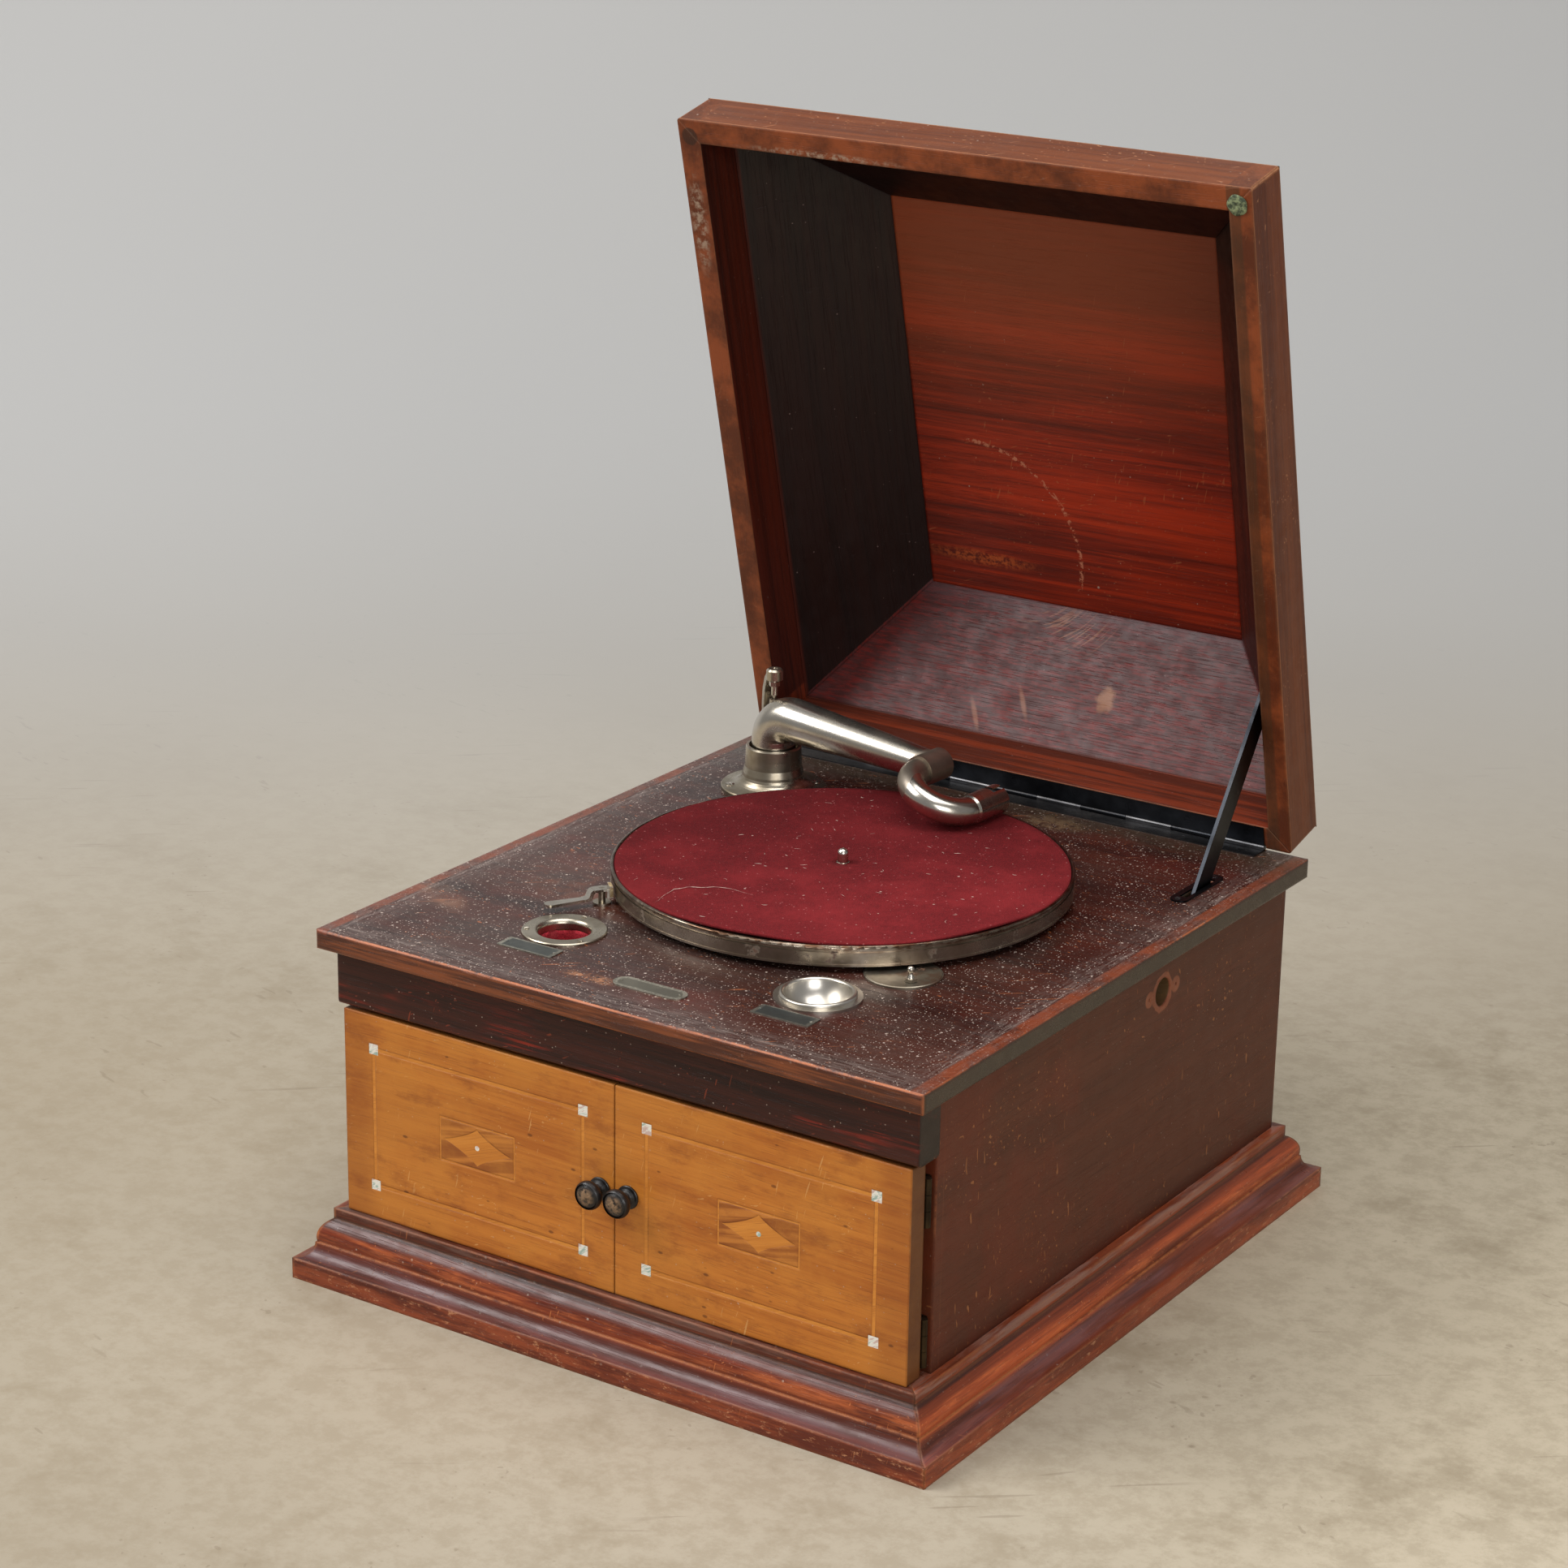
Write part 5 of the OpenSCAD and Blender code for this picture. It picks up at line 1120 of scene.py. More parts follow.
# %% [markdown]
# ## Plates and speed dial
#
# The small plates are thin metal gone dull. Their borders are rubbed paler
# than their fields, and both are found by distance from the middle of a
# plate. The round plate under the speed lever has rust at its back.

# %% Plates and speed dial
SIDE_PLATES, MIDDLE_PLATE = (0.0965, -0.194), (0.005, -0.206)


def plate_metal(net, point):
    """The side plates have gone grey-green; the middle one keeps more nickel round a darker field."""
    parts = metal(rgb(112, 116, 112), rgb(82, 86, 84), rgb(60, 54, 46), 0.0, (0.4, 0.6), 0.25)(net, point)
    x, y = net.split(point)[:2]
    worn = net.noise(point, 420, 4, 0.7)
    # pale borders of the side plates
    out, over = net.off(net.abs(x), SIDE_PLATES[0]), net.off(y, SIDE_PLATES[1])
    edge = net.most(net.step(out, 0.0176, 0.0192), net.step(over, 0.0052, 0.0068))
    pale = net.mix(net.step(worn, 0.35, 0.6), rgb(150, 146, 132), rgb(196, 190, 174))
    net.paint(parts, edge, pale, 0.6)
    # the middle plate is an oblong with round ends, so its field is a distance from a line
    plaque = net.step(net.off(x, MIDDLE_PLATE[0]), 0.0262, 0.0258)
    along = net.most(net.minus(net.off(x, MIDDLE_PLATE[0]), 0.0185), 0.0)
    from_axis = net.vec("LENGTH", net.join(along, net.off(y, MIDDLE_PLATE[1])))
    field = net.times(net.step(from_axis, 0.0052, 0.0048), net.step(worn, 0.35, 0.55, (0.35, 0.9)))
    oblong = net.mix(net.times(field, 0.7), pale, rgb(92, 88, 76))
    net.paint(parts, plaque, oblong)
    return parts


def dial_metal(net, point):
    """The speed plate: rubbed grey steel, with a brown rust cloud at the back and small pits."""
    worn = metal(rgb(176, 168, 152), rgb(128, 118, 102), rgb(104, 66, 44), 0.02, (0.34, 0.5), 0.1)
    parts = worn(net, point)
    cloud = net.noise(point, 90, 4, 0.65)
    rusty = net.times(net.step(cloud, 0.4, 0.62), net.step(net.split(point)[1], -0.1107, -0.0987))
    net.paint(parts, rusty, rgb(142, 96, 68), 0.6)
    return parts


PLATE = material("plate_metal", plate_metal, 0.0001)
DIAL = material("dial_metal", dial_metal, 0.0001)
dress(PLATE, "deck_plates")
dress(DIAL, "speed_dial")

# %% [markdown]
# ## Pearl
#
# Mother-of-pearl shines in soft bands of green, white and rose. A noise that
# is stretched and turned picks the tint, and a clear coat gives the gloss of
# its polish. True thin-film colour would be lost at this size.


# %% Pearl
def pearl(net, point):
    """One stretched and turned noise picks between green, white and rose."""
    sheen = net.noise(net.turn(point, (20, 35, 10)), (70, 560, 200), 3, 0.6, 0.8)
    tint = net.mix(net.step(sheen, 0.36, 0.48), rgb(150, 172, 160), rgb(226, 222, 210))
    tint = net.mix(net.step(sheen, 0.52, 0.62), tint, rgb(196, 168, 158))
    return {"Color": tint, "Height": sheen, "Roughness": net.step(sheen, 0.3, 0.7, (0.12, 0.3))}


PEARL = material("pearl", pearl, 0.0001, Coat_Weight=0.6, Coat_Roughness=0.1)
dress(PEARL, "left_door_pearls", "right_door_pearls")

# %% [markdown]
# ## Felt and cloth
#
# Felt has no weave, only matted hair. Strands of hair would be heavy and
# would not show, so it is fine noise with a strong bump and pale lint. The
# nap leans one way, so one side of the disc is painted darker and the other
# lighter, as painted shade and painted light. The cloth in the well has
# faded where needles rubbed it.


# %% Felt and cloth
def felt(net, point):
    """Fine fuzz and tufts, paler where it has faded, painted lighter on one side and darker on the other as painted
    light and shade, with lint and grit on it.
    """
    fuzz = net.noise(point, 1300, 3, 0.75)
    cloud = net.noise(point, 20, 5, 0.65)
    lint = net.use(SPECKS, Vector=point, Density=380.0, Size=0.26, Share=0.4)[0]
    grit = net.use(SPECKS, Vector=point, Density=150.0, Size=0.13, Share=0.18)[0]
    tufts = net.noise(point, 420, 4, 0.75)
    lines = net.use(SCRATCHES, Vector=net.scale(point, 3), Amount=0.5)[0]
    # painted light and shade: one side of the disc is mixed lighter, the other darker
    painted_nap_light = net.step(net.vec("DOT_PRODUCT", point, (0.8, -0.6, 0.0)), -0.13, 0.13)
    colour = net.layers(
        net.mix(net.step(fuzz, 0.3, 0.7), rgb(76, 16, 19), rgb(132, 32, 36)),
        (net.step(tufts, 0.4, 0.62, (0.45, 0.0)), (70, 14, 18)),
        (net.step(cloud, 0.4, 0.68, (0.0, 0.6)), (142, 41, 44)),
        (net.times(net.minus(1.0, painted_nap_light), 0.45), (70, 12, 16)),
        (net.times(painted_nap_light, 0.11), (176, 62, 66)),
        (net.times(lint, 0.55), (180, 110, 108)),
        (net.times(grit, 0.7), (206, 176, 164)),
        (net.times(lines, 0.3), (180, 100, 100)))
    return {"Color": colour, "Height": net.add(net.times(fuzz, 0.7), net.times(cloud, 0.6)),
            "Roughness": net.step(cloud, 0.3, 0.7, (0.88, 1.0))}


def red_cloth(net, point):
    """A fine weave between two reds, with pale clouds where it has faded."""
    weave = net.noise(point, 1300, 2, 0.6)
    faded = net.noise(point, 60, 3)
    colour = net.mix(net.step(weave, 0.35, 0.65), rgb(126, 22, 34), rgb(184, 52, 62))
    colour = net.mix(net.step(faded, 0.45, 0.7, (0.0, 0.5)), colour, rgb(206, 110, 110))
    return {"Color": colour, "Height": weave, "Roughness": net.step(faded, 0.3, 0.7, (0.85, 1.0))}


FELT = material("felt", felt, 0.0012, Specular_IOR_Level=0.12)
RED_CLOTH = material("red_cloth", red_cloth, 0.0004, Specular_IOR_Level=0.2)
dress(FELT, "platter_felt")
dress(RED_CLOTH, "needle_well")

# %% [markdown]
# ## Rubber and leather
#
# Rubber is dull and turns grey, and the old buffer has a green crust.
# Leather shows a net of creases, which are the borders of Voronoi cells.


# %% Rubber and leather
def rubber(net, point):
    """Black that has gone grey in spots."""
    worn = net.noise(point, 300, 3)
    return {"Color": net.mix(worn, rgb(20, 20, 20), rgb(48, 46, 44)), "Height": worn,
            "Roughness": net.step(worn, 0.3, 0.7, (0.6, 0.85))}


def leather(net, point):
    """Pale leather with brown stains; height is the distance from the borders of small cells."""
    creases = net.put("ShaderNodeTexVoronoi", {"Vector": point, "Scale": 900.0},
                      {"feature": "DISTANCE_TO_EDGE"})
    stain = net.noise(point, 160, 3)
    return {"Color": net.mix(net.step(stain, 0.4, 0.65), rgb(206, 186, 146), rgb(150, 122, 84)),
            "Height": net.step(creases, 0.0, 0.12), "Roughness": net.step(stain, 0.3, 0.7, (0.7, 0.9))}


def buffer_rubber(net, point):
    """Dark rubber under a green-grey crust."""
    crust = net.noise(point, 260, 4, 0.7)
    colour = net.mix(net.step(crust, 0.4, 0.62), rgb(52, 62, 44), rgb(132, 142, 104))
    return {"Color": colour, "Height": crust, "Roughness": net.step(crust, 0.3, 0.7, (0.7, 0.95))}


RUBBER = material("rubber", rubber, 0.0003)
LEATHER = material("leather", leather, 0.0003)
BUFFER = material("buffer_rubber", buffer_rubber, 0.0006)
dress(RUBBER, "motor_bushes", "lid_buffer")
print(len(bpy.data.materials), "materials")

# %% [markdown]
# ## Grids and pieces
#
# A surface is a grid of points worked out as whole arrays, which is faster
# and shorter than placing points one by one. `piece` joins grids into one
# mesh in metres that rides on its body. A grid that wraps round or has caps
# is watertight, as an export wants it.


# %% Grids and pieces
def grid_faces(rows, cols, wrap_rows=False, wrap_cols=False):
    """Quads between neighbours of a rows x cols grid of points; a wrapped side also joins last to first."""
    i, j = np.meshgrid(np.arange(rows - (not wrap_rows)), np.arange(cols - (not wrap_cols)), indexing="ij")
    i, j = i.ravel(), j.ravel()
    near, far = i * cols, (i + 1) % rows * cols
    return np.stack([near + j, near + (j + 1) % cols, far + (j + 1) % cols, far + j], 1)


def piece(name, parts, mat, body, slot=None):
    """One object from parts of (points in mm, faces); rides on a body and takes a slot of the record."""
    points, faces, base = [], [], 0
    for p, f in parts:
        points.append(np.asarray(p, float).reshape(-1, 3))
        faces += (np.asarray(f) + base).tolist()
        base += len(points[-1])
    mesh = bpy.data.meshes.new(name)
    mesh.from_pydata((np.vstack(points) / 1000).tolist(), [], faces)
    mesh.validate()
    mesh.polygons.foreach_set("use_smooth", [True] * len(mesh.polygons))
    obj = bpy.data.objects.new(name, mesh)
    bpy.context.collection.objects.link(obj)
    mesh.materials.append(mat)
    if body:
        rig.ride(obj, body)
    if slot:
        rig.slot(obj, slot)
    print(name, "has", len(mesh.polygons), "faces")
    return obj


print("a closed grid of 4 x 5 points has", len(grid_faces(4, 5, True, True)), "faces")

# %% [markdown]
# ## Turned shapes, screws and the open lid
#
# A turned part is a profile carried round an axis. A screw head could be cut
# with a Boolean, but a square grid pressed to a disc has its slot in its own
# rows and stays watertight. Pieces on the lid are placed on the shut lid,
# and `lid_point` carries them up with it.


# %% Turned shapes, screws and the open lid
def lathe(profile, sides):
    """A closed profile of (radius, height) turned round Z."""
    r, z = np.asarray(profile, float).T
    a = np.linspace(0, 2 * np.pi, sides, endpoint=False)
    p = np.stack([np.outer(r, np.cos(a)), np.outer(r, np.sin(a)), np.outer(z, np.ones(sides))], -1)
    return p, grid_faces(len(r), sides, True, True)


def frame_of(normal, turn=0.0):
    """Three unit vectors: two across a normal, turned by an angle, and the normal."""
    n = np.asarray(normal, float) / np.linalg.norm(normal)
    a = np.cross(n, (0, 1, 0) if abs(n[1]) < 0.9 else (1, 0, 0))
    a /= np.linalg.norm(a)
    b = np.cross(n, a)
    c, s = math.cos(turn), math.sin(turn)
    return np.array([c * a + s * b, c * b - s * a, n])


def screw_head(at, normal, radius, height, turn=0.0, slot=0.14):
    """A domed, slotted head: a square grid is pressed to a disc, and the rows near its middle are sunk."""
    rows = np.array([-1, -0.75, -0.5, -0.3, -slot - 0.04, -slot, 0, slot, slot + 0.04, 0.3, 0.5, 0.75, 1])
    u, v = np.meshgrid(np.linspace(-1, 1, 11), rows, indexing="ij")
    x, y = u * np.sqrt(1 - v * v / 2), v * np.sqrt(1 - u * u / 2)
    dome = 0.35 + 0.65 * np.sqrt(np.clip(1 - 0.9 * (x * x + y * y), 0, 1))
    z = height * dome - height * 0.5 * (np.abs(v) <= slot)
    top = np.stack([x * radius, y * radius, z], -1)
    edge = np.zeros_like(u, bool)
    edge[[0, -1], :] = edge[:, [0, -1]] = True
    foot = top.copy()
    foot[..., 2] = 0.0
    points = np.concatenate([top.reshape(-1, 3), foot.reshape(-1, 3)]) @ frame_of(normal, turn) + at
    n = u.size
    faces = grid_faces(*u.shape)
    ids = np.arange(n).reshape(u.shape)
    loop = np.concatenate([ids[:, 0], ids[-1, 1:], ids[-2::-1, -1], ids[0, -2:0:-1]])
    nxt = np.roll(loop, -1)
    walls = np.stack([loop, nxt, nxt + n, loop + n], 1)
    return points, np.concatenate([faces, faces[:, ::-1] + n, walls[:, ::-1]])


def lid_point(x, l, d):
    """A point of the shut lid (across, from the hinge, above the rim) where the open lid has it."""
    c, s = math.cos(LID_OPEN), math.sin(LID_OPEN)
    return np.array([x, HINGE[1] - c * l + s * d, HINGE[2] + s * l + c * d])


LID_DOWN = lid_point(0, 0, -1) - lid_point(0, 0, 0)
print("down, for the open lid, is", LID_DOWN.round(2))

# %% [markdown]
# ## Felt on the turntable
#
# The felt is a loose disc of cloth. It could be draped by simulation, but it
# lies on a plate, so a formula is enough. Its rim wanders a little. At two
# places in front it has shrunk away from the lip and lifts off the metal, by
# less than the gap under the gooseneck, because it spins below it.


# %% Felt
def felt_disc(radius=149.4, hole=4.3, low=16.75, thick=1.9, rings=44, sides=180):
    """Rings from the hole to a rim that wanders, has drawn in at two places and lifts a little there."""
    share = np.linspace(0, 1, rings) ** 0.8
    a = np.linspace(0, 2 * np.pi, sides, endpoint=False)
    front, right = np.exp(-((np.degrees(a) - 277) / 19) ** 2), np.exp(-((np.degrees(a) - 340) / 12) ** 2)
    edge = radius + 0.35 * np.sin(3 * a + 1) + 0.25 * np.sin(7 * a) + 0.15 * np.sin(17 * a + 2)
    edge = edge - 4.6 * front - 2.4 * right
    r = hole + np.outer(share, edge - hole)
    rise = np.clip((r / edge - 0.93) / 0.07, 0, 1) ** 2 * 0.38 * (front + right)
    swell = 0.12 * np.sin(r / 21 + 2 * np.cos(a)) * np.clip(r / 60, 0, 1)
    x, y = SPINDLE[0] + r * np.cos(a), SPINDLE[1] + r * np.sin(a)
    top = np.stack([x, y, DECK + low + thick + rise + swell * 0.6], -1)
    under = np.stack([x, y, DECK + low + rise], -1)
    rim_in, rim_out = top[-1].copy(), under[-1].copy()
    rim_in[:, 2] -= 0.5
    rim_out[:, 2] += 0.5
    push = np.stack([np.cos(a), np.sin(a), 0 * a], -1) * 0.35
    loops = np.concatenate([top, [rim_in + push], [rim_out + push], under[::-1]])
    return loops, grid_faces(len(loops), sides, True, True)


felt_piece = piece("turntable_felt", [felt_disc()], FELT, "turntable", "felt")
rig.replaces(felt_piece, "platter_felt")
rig.sheet(felt_piece, flat=(0.2988, 0.2988), held="laid", rests_on=["platter"], area=math.pi * 0.1494**2)

# %% [markdown]
# ## Lint on the felt
#
# Hairs and short fibres lie on the nap. Each is a thin tube of four sides
# along a curve, because there are many of them and each is thinner than a
# pixel. Most are drawn at random. One long pale hair crosses the left of the
# disc in the photograph, so its path runs through points that were read off
# it, with small waves between them.


# %% Lint
def fibre(path, radius):
    """A four-sided tube: the path's points are pushed out along a side vector and up, and its ends taper."""
    path = np.asarray(path, float)
    ahead = np.gradient(path, axis=0)
    ahead /= np.linalg.norm(ahead, axis=1, keepdims=True)
    side = np.cross(ahead, (0, 0, 1))
    side /= np.linalg.norm(side, axis=1, keepdims=True)
    up = np.cross(side, ahead)
    thick = radius * np.sin(np.linspace(0.15, np.pi - 0.15, len(path)))[:, None]
    points = np.stack([path + thick * side, path + thick * up, path - thick * side, path - thick * up], 1)
    n = len(path) * 4
    caps = np.array([[0, 1, 2, 3], [n - 1, n - 2, n - 3, n - 4]])
    return points, np.concatenate([grid_faces(len(path), 4, False, True)[:, ::-1], caps])


def lint_on_felt(count=70, seed=11):
    """Places, lengths, headings and bends are drawn; each path is an arc lying just above the felt."""
    draw = np.random.default_rng(seed)
    reach = 144 * np.sqrt(draw.uniform(0.01, 1, count))
    where = draw.uniform(0, 2 * np.pi, count)
    size, heading = draw.uniform(0.8, 7, count), draw.uniform(0, 2 * np.pi, count)
    bend = draw.normal(0, 1.2, count)
    out = []
    for k in range(count):
        t = np.linspace(-0.5, 0.5, 6)
        turn = heading[k] + bend[k] * t
        step = size[k] / 6 * np.stack([np.cos(turn), np.sin(turn)], 1)
        start = np.array(SPINDLE) + reach[k] * np.array([math.cos(where[k]), math.sin(where[k])])
        x, y = (np.cumsum(step, 0) + start).T
        out.append(fibre(np.stack([x, y, np.full(6, DECK + 18.95)], 1), 0.16))
    return out


def lint(net, point):
    """Between rosy brown and pale grey."""
    shade = net.noise(point, 260, 3)
    colour = net.mix(net.step(shade, 0.35, 0.65), rgb(150, 96, 92), rgb(214, 190, 176))
    return {"Color": colour, "Height": shade, "Roughness": net.step(shade, 0.3, 0.7, (0.8, 0.95))}


LINT = material("lint", lint, 0.0001)
HAIR = np.array([[-51, -124], [-52.1, -114], [-55.2, -100], [-54.4, -95.7], [-50.7, -89.2], [-45.2, -84.3],
                 [-36.4, -77.8], [-25, -74.2], [-8, -74.5]])
coarse, fine = np.linspace(0, 1, len(HAIR)), np.linspace(0, 1, 60)
hair = np.stack([np.interp(fine, coarse, HAIR[:, 0]) + 0.5 * np.sin(31 * fine),
                 np.interp(fine, coarse, HAIR[:, 1]) + 0.5 * np.cos(23 * fine),
                 DECK + 19.1 + 0.1 * np.sin(17 * fine)], 1)
piece("felt_lint", lint_on_felt() + [fibre(hair, 0.2)], LINT, "turntable", "felt")

# %% [markdown]
# ## Cloth in the needle well
#
# Used needles drop into a well lined with red cloth. A flat disc pushed into
# a round hole has more edge than the hole, so it folds. Nine waves round the
# wall stand for those folds. They are shallow, so no simulation is needed.


# %% Cloth
def well_cloth(centre=(-96.5, -158.0), depth=43.0, radius=17.6):
    """A pouch: the radius follows the wall with nine soft folds and closes over the floor."""
    down = np.concatenate([np.linspace(0, 1, 16), np.ones(10)])
    r = np.concatenate([np.full(16, radius), radius * np.linspace(0.96, 0.04, 10)])
    a = np.linspace(0, 2 * np.pi, 96, endpoint=False)
    fold = 1 - 0.035 * (1 + np.sin(9 * a + 0.8 * np.sin(2 * a))) * np.minimum(r, 10)[:, None] / 10
    inner = np.outer(r, np.ones(96)) * fold
    z = DECK - 5.6 - (depth - 6) * down[:, None] + 0.3 * np.sin(5 * a)
    z = z + 0 * inner
    shell = np.stack([centre[0] + inner * np.cos(a), centre[1] + inner * np.sin(a), z], -1)
    outer = inner + 0.5
    under = z - 0.4 * (down[:, None] > 0.99)
    back = np.stack([centre[0] + outer * np.cos(a), centre[1] + outer * np.sin(a), under], -1)
    loops = np.concatenate([shell, back[::-1]])
    return loops, grid_faces(len(loops), 96, True, True)


cloth = piece("needle_well_cloth", [well_cloth()], RED_CLOTH, "cabinet", "red_cloth")
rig.replaces(cloth, "needle_well")
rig.sheet(cloth, flat=(0.088, 0.088), held="gathered", rests_on=["deck"], area=math.pi * 0.044**2)

# %% [markdown]
# ## Leather on the brake
#
# The brake presses a block of leather on the turntable's rim. A bevelled
# cube would keep flat faces. A cube whose points are moved onto a rounded
# one has the soft corners and full sides of cut leather.


# %% Leather
def soft_block(half, at, turn, rows=9):
    """A cube's points are divided by the 8th root of the sum of their 8th powers, so its faces crown."""
    t = np.linspace(-1, 1, rows)
    u, v = np.meshgrid(t, t, indexing="ij")
    parts = []
    c, s = math.cos(turn), math.sin(turn)
    spin = np.array([[c, s, 0], [-s, c, 0], [0, 0, 1]])
    for axis in range(3):
        for sign in (-1, 1):
            p = np.empty(u.shape + (3,))
            p[..., axis], p[..., (axis + 1) % 3], p[..., (axis + 2) % 3] = sign, u, v
            size = np.sum(np.abs(p) ** 8, -1, keepdims=True) ** (1 / 8)
            p = p / size * half
            f = grid_faces(rows, rows)
            parts.append((p @ spin + at, f if sign > 0 else f[:, ::-1]))
    return parts


BRAKE = np.array([-107.1, -103.5])
pad_turn = math.radians(46.1)
pad_at = np.array([*(BRAKE + 5.55 * np.array([math.cos(pad_turn), math.sin(pad_turn)])), DECK + 8.9])
pad = piece("brake_leather", soft_block((1.38, 4.95, 4.1), pad_at, pad_turn), LEATHER, "brake", "felt")
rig.padded(pad, fill=1)

# %% [markdown]
# ## Buffer of the lid
#
# A disc of rubber on the rim keeps the lid off the deck. It is turned, with
# a slightly wavy rim, because old rubber creeps. It is thinner than the gap,
# so that the lid shuts without biting into the deck.

# %% Buffer
buffer_at = lid_point(205.7, 469, 0)
profile = [[0.05, 0.0], [6.4, 0.0], [7.0, 0.4], [7.0, 0.8], [6.3, 1.25], [4.5, 1.5], [2.0, 1.6], [0.05, 1.65]]
points, faces = lathe(profile, 40)
ripple = 1 + 0.03 * np.sin(5 * np.arctan2(points[..., 1], points[..., 0]))
points = (points * ripple[..., None]).reshape(-1, 3) @ frame_of(LID_DOWN) + buffer_at
buffer = piece("lid_buffer_pad", [(points, faces)], BUFFER, "lid", "bush_rubber")
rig.replaces(buffer, "lid_buffer")
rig.padded(buffer, fill=1)

# %% [markdown]
# ## Screws and pins
#
# Slotted heads sit where the photograph shows fastenings. No fitter lines up
# the slots, so each is turned by a seeded draw. The heads on the long hinge
# are almost flush, because its two leaves close to 0.2 mm. The pins of the
# plates have no slot.

# %% Screws and pins
rng = np.random.default_rng(7)
UP = (0, 0, 1)
FLANGE_TURNS = np.radians([41.5, 131.5, 221.5, 311.5])
HINGE_SCREWS = [-184 + 46 * k for k in range(9)]


def heads(places, normal, radius, height):
    """One screw head at each place, each turned by a new draw."""
    return [screw_head(np.array(p, float), normal, radius, height, rng.uniform(0, math.pi)) for p in places]


flange = [(ARM[0] + 30.5 * math.cos(a), ARM[1] + 30.5 * math.sin(a), DECK + 3.3) for a in FLANGE_TURNS]
piece("flange_screws", heads(flange, UP, 3.3, 1.5), NICKEL, "cabinet", "nickel")
ring = [(-116.6, -171.2, DECK + 1.5), (-75.4, -169.6, DECK + 1.5), (-98.9, -133.8, DECK + 1.5)]
piece("ring_screws", heads(ring, UP, 1.8, 0.8), METALS["dull_nickel"], "cabinet", "nickel")
strap = heads([(193.6, 123.4, DECK + 1.15), (194.3, 174.3, DECK + 1.15)], UP, 2.1, 0.6)
leaf = heads([(x, 233.0, DECK + 0.8) for x in HINGE_SCREWS], UP, 2.7, 0.085)
piece("leaf_screws", strap + leaf, METALS["dull_steel"], "cabinet", "dull_steel")
lid_leaf = heads([lid_point(x, 10, -0.8) for x in HINGE_SCREWS], LID_DOWN, 2.7, 0.085)
piece("lid_leaf_screws", lid_leaf, METALS["black_steel"], "lid", "dull_steel")
pins = [(s * 96.5 + t * 18.3, -194, DECK + 0.55) for s in (-1, 1) for t in (-1, 1)]
pins += [(5 + t * 22, -206, DECK + 0.75) for t in (-1, 1)]
pins = [screw_head(np.array(p), UP, 1.1, 0.6, 0, 0.0) for p in pins]
piece("plate_pins", pins, PLATE, "cabinet", "plate_metal")

# %% [markdown]
# ## Floor and backdrop
#
# The photograph has a stained floor that fades into a grey wall without a
# line between them. A studio gets this with one sheet that hangs and sweeps
# forward, so here too it is one bent sheet, turned to face the camera. The
# stains are noises that fade with distance.


# %% Floor and backdrop
def backdrop(net, point):
    """Across, away and up are measured from the camera's side; stains fade as away grows; painted shade darkens the
    left, the back right and the top of the wall, and painted light brightens the front right.
    """
    across, away, up = net.split(net.turn(point, (0, 0, -VIEW_TURN)))[:3]
    shade = net.noise(point, 1.2, 3)
    stains = net.patches(point, 6, 6, 0.75, 0.5, 0.7, (0.0, 0.5))
    cloudy = net.patches(point, 40, 6, 0.8, 0.4, 0.62, (0.0, 0.35))
    grit = net.use(SPECKS, Vector=point, Density=26.0, Size=0.06, Share=0.3)[0]
    marks = net.use(SCRATCHES, Vector=net.scale(point, 0.28), Amount=1.0)[0]
    near = net.step(away, 1.6, 0.2)
    painted_light_front_right = net.times(net.step(across, 0.0, 0.4), net.step(away, 0.5, 0.15))
    right = net.times(net.step(across, 0.1, 0.7), net.step(away, 0.25, 0.6))
    colour = net.layers(
        net.mix(net.step(shade, 0.3, 0.7), rgb(160, 148, 128), rgb(172, 161, 142)),
        # painted shade: the floor is mixed darker on the left
        (net.step(across, 0.15, -0.75, (0.0, 0.45)), (146, 134, 114)),
        # painted light: the floor is mixed paler at the front right
        (net.times(painted_light_front_right, 0.34), (214, 199, 170)),
        (net.times(near, stains), (132, 117, 92)),
        (net.times(near, cloudy), (138, 123, 99)),
        (net.times(net.most(grit, net.times(marks, 0.6)), 0.5), (108, 92, 70)),
        # painted shadow: the floor is mixed darker at the back right, behind the object
        (net.times(right, 0.5), (150, 138, 118)),
        (net.step(away, 0.2, 2.0), (174, 173, 171)),
        # painted shade: the wall is mixed darker towards its top
        (net.step(up, 0.4, 1.9, (0.0, 0.9)), (152, 152, 151)))
    return {"Color": colour, "Height": shade, "Roughness": net.step(shade, 0.3, 0.7, (0.6, 0.75))}


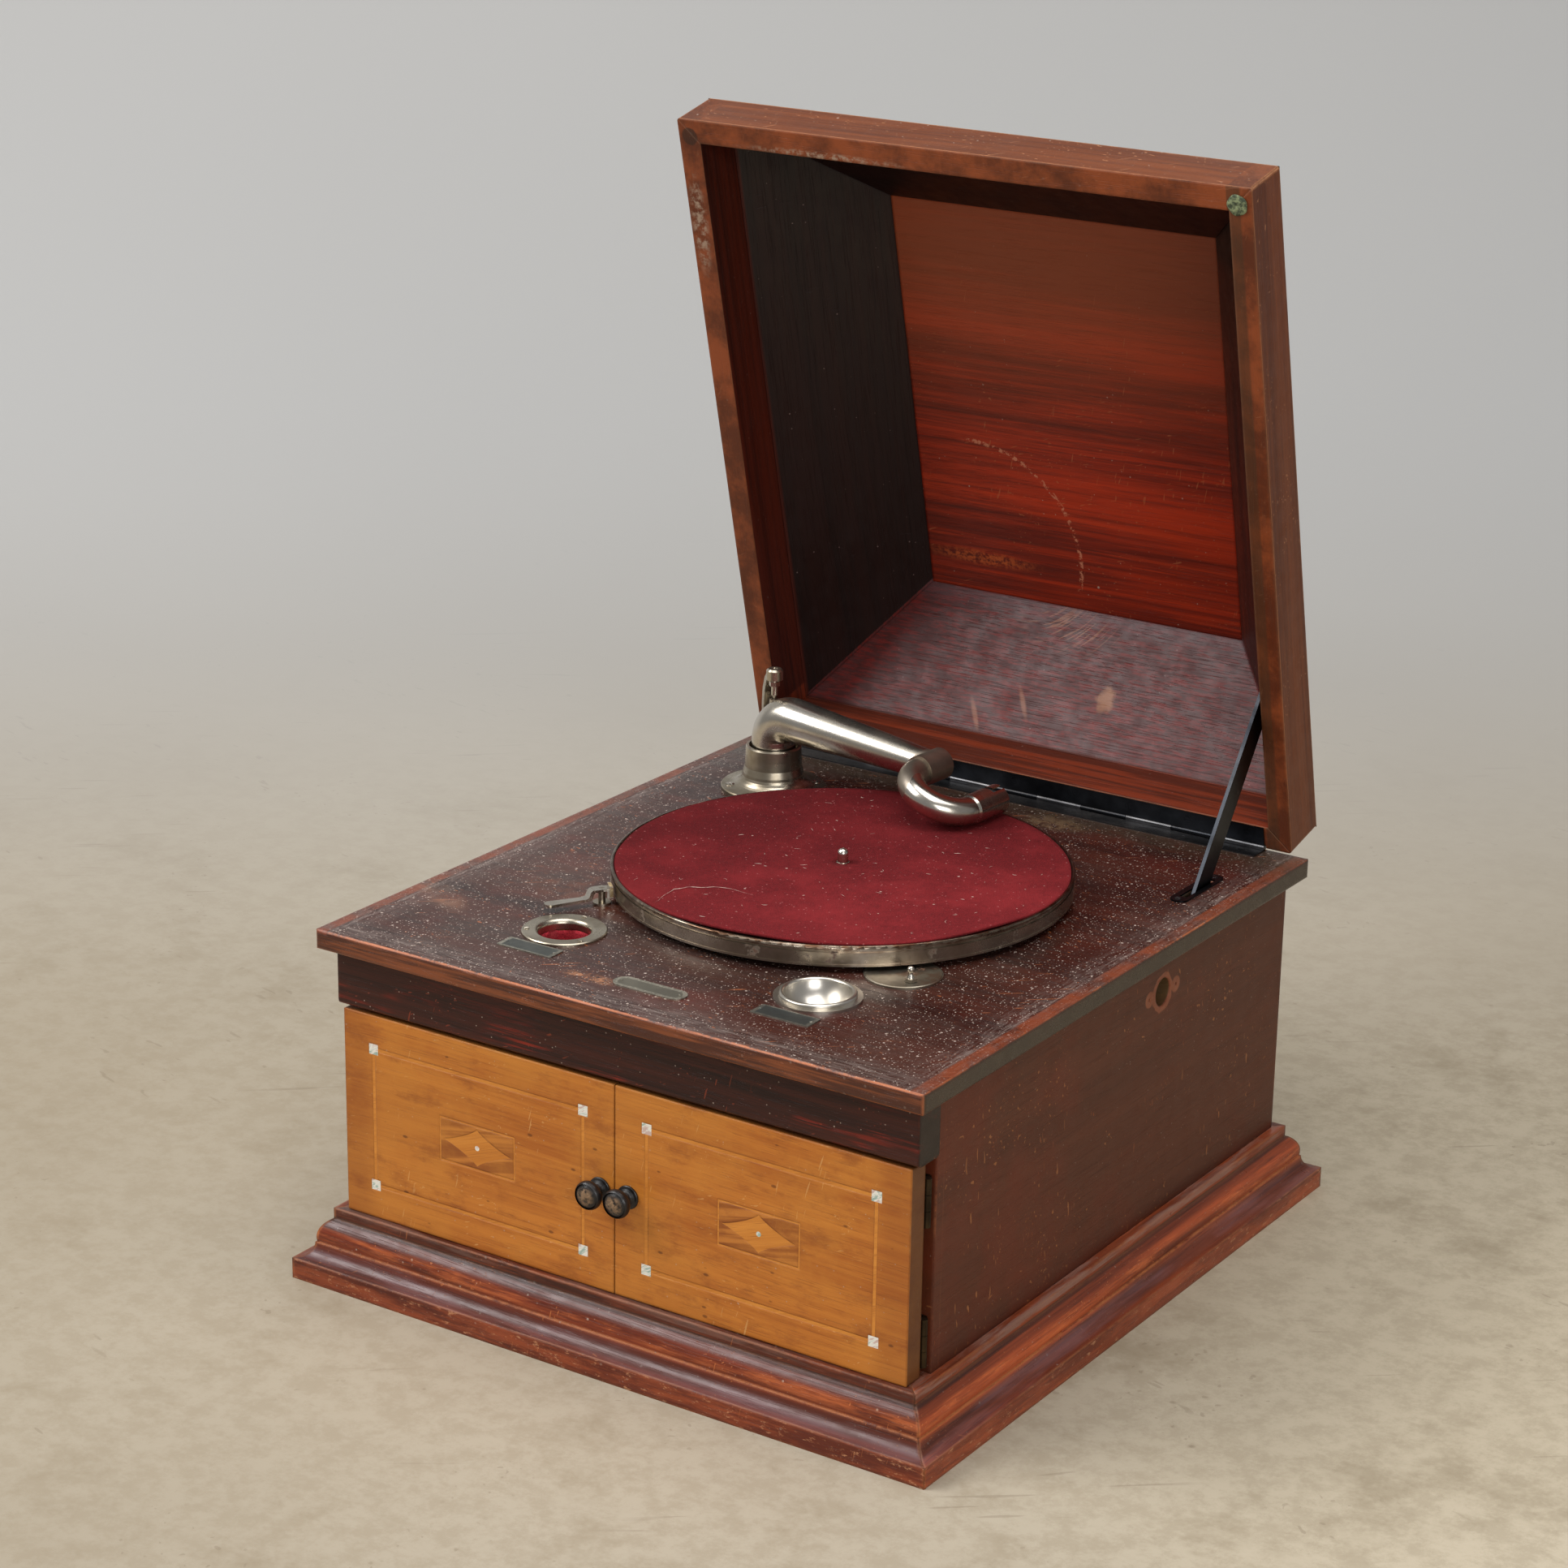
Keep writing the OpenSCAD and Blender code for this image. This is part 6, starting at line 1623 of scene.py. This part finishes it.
def sweep_sheet():
    """A floor that bends up into a wall behind, as one curve run sideways, in mm."""
    flat = np.linspace(-3500, 1300, 20)
    turn = np.linspace(0, np.pi / 2, 24)[1:]
    y = np.concatenate([flat, 1300 + 1500 * np.sin(turn), [2800] * 8])
    z = np.concatenate([0 * flat, 1500 - 1500 * np.cos(turn), np.linspace(1700, 5000, 8)])
    c, s = math.cos(math.radians(VIEW_TURN)), math.sin(math.radians(VIEW_TURN))
    x = np.linspace(-5000, 5000, 24)
    gx, gy = np.meshgrid(x, y, indexing="ij")
    gz = np.meshgrid(x, z, indexing="ij")[1]
    return np.stack([c * gx - s * gy, s * gx + c * gy, gz], -1), grid_faces(len(x), len(y))


sheet = piece("backdrop", [sweep_sheet()], material("backdrop", backdrop, 0.001), None)
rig.stage(sheet)

# %% [markdown]
# ## Light
#
# The light is soft, from the left and above, with a weak fill from the
# right. Small lamps would cut hard shadows, so these are as large as the
# windows of a studio. Their power is set so that a colour renders about as
# it is written.


# %% Light
def area_light(name, at, toward, size, power):
    """A rectangular lamp at a place, aimed at another."""
    data = bpy.data.lights.new(name, "AREA")
    data.shape, data.size, data.size_y, data.energy = "RECTANGLE", *size, power
    lamp = bpy.data.objects.new(name, data)
    lamp.location = at
    aim = np.array(toward, float) - at
    lamp.rotation_euler = Vector(aim).to_track_quat("-Z", "Y").to_euler()
    bpy.context.collection.objects.link(lamp)


area_light("key", (-3.0, -2.3, 3.6), (0.1, 0, 0.1), (3.0, 2.2), 190)
area_light("top", (0.4, -0.2, 3.2), (0, 0, 0.2), (2.6, 2.6), 75)
area_light("fill", (3.2, -3.2, 1.8), (0.2, 0, 0.1), (2.6, 2.0), 75)
world = bpy.data.worlds.new("studio")
bpy.context.scene.world = world
world.use_nodes = True
world.node_tree.nodes["Background"].inputs["Color"].default_value = rgb(205, 205, 206)
world.node_tree.nodes["Background"].inputs["Strength"].default_value = 0.43
bpy.context.scene.view_settings.view_transform = "Standard"
print(len(bpy.data.lights), "lamps and a grey world")

# %% [markdown]
# ## Sizes and finish
#
# The box of the CAD model and the box of what is seen are written down,
# because dressing must not change the size of the object.

# %% Sizes and finish
with open("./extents.json", "w") as out:
    json.dump({"cad": CAD_BOX, "visual": [list(corner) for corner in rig.bounds()]}, out)
print("size", json.load(open("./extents.json")))
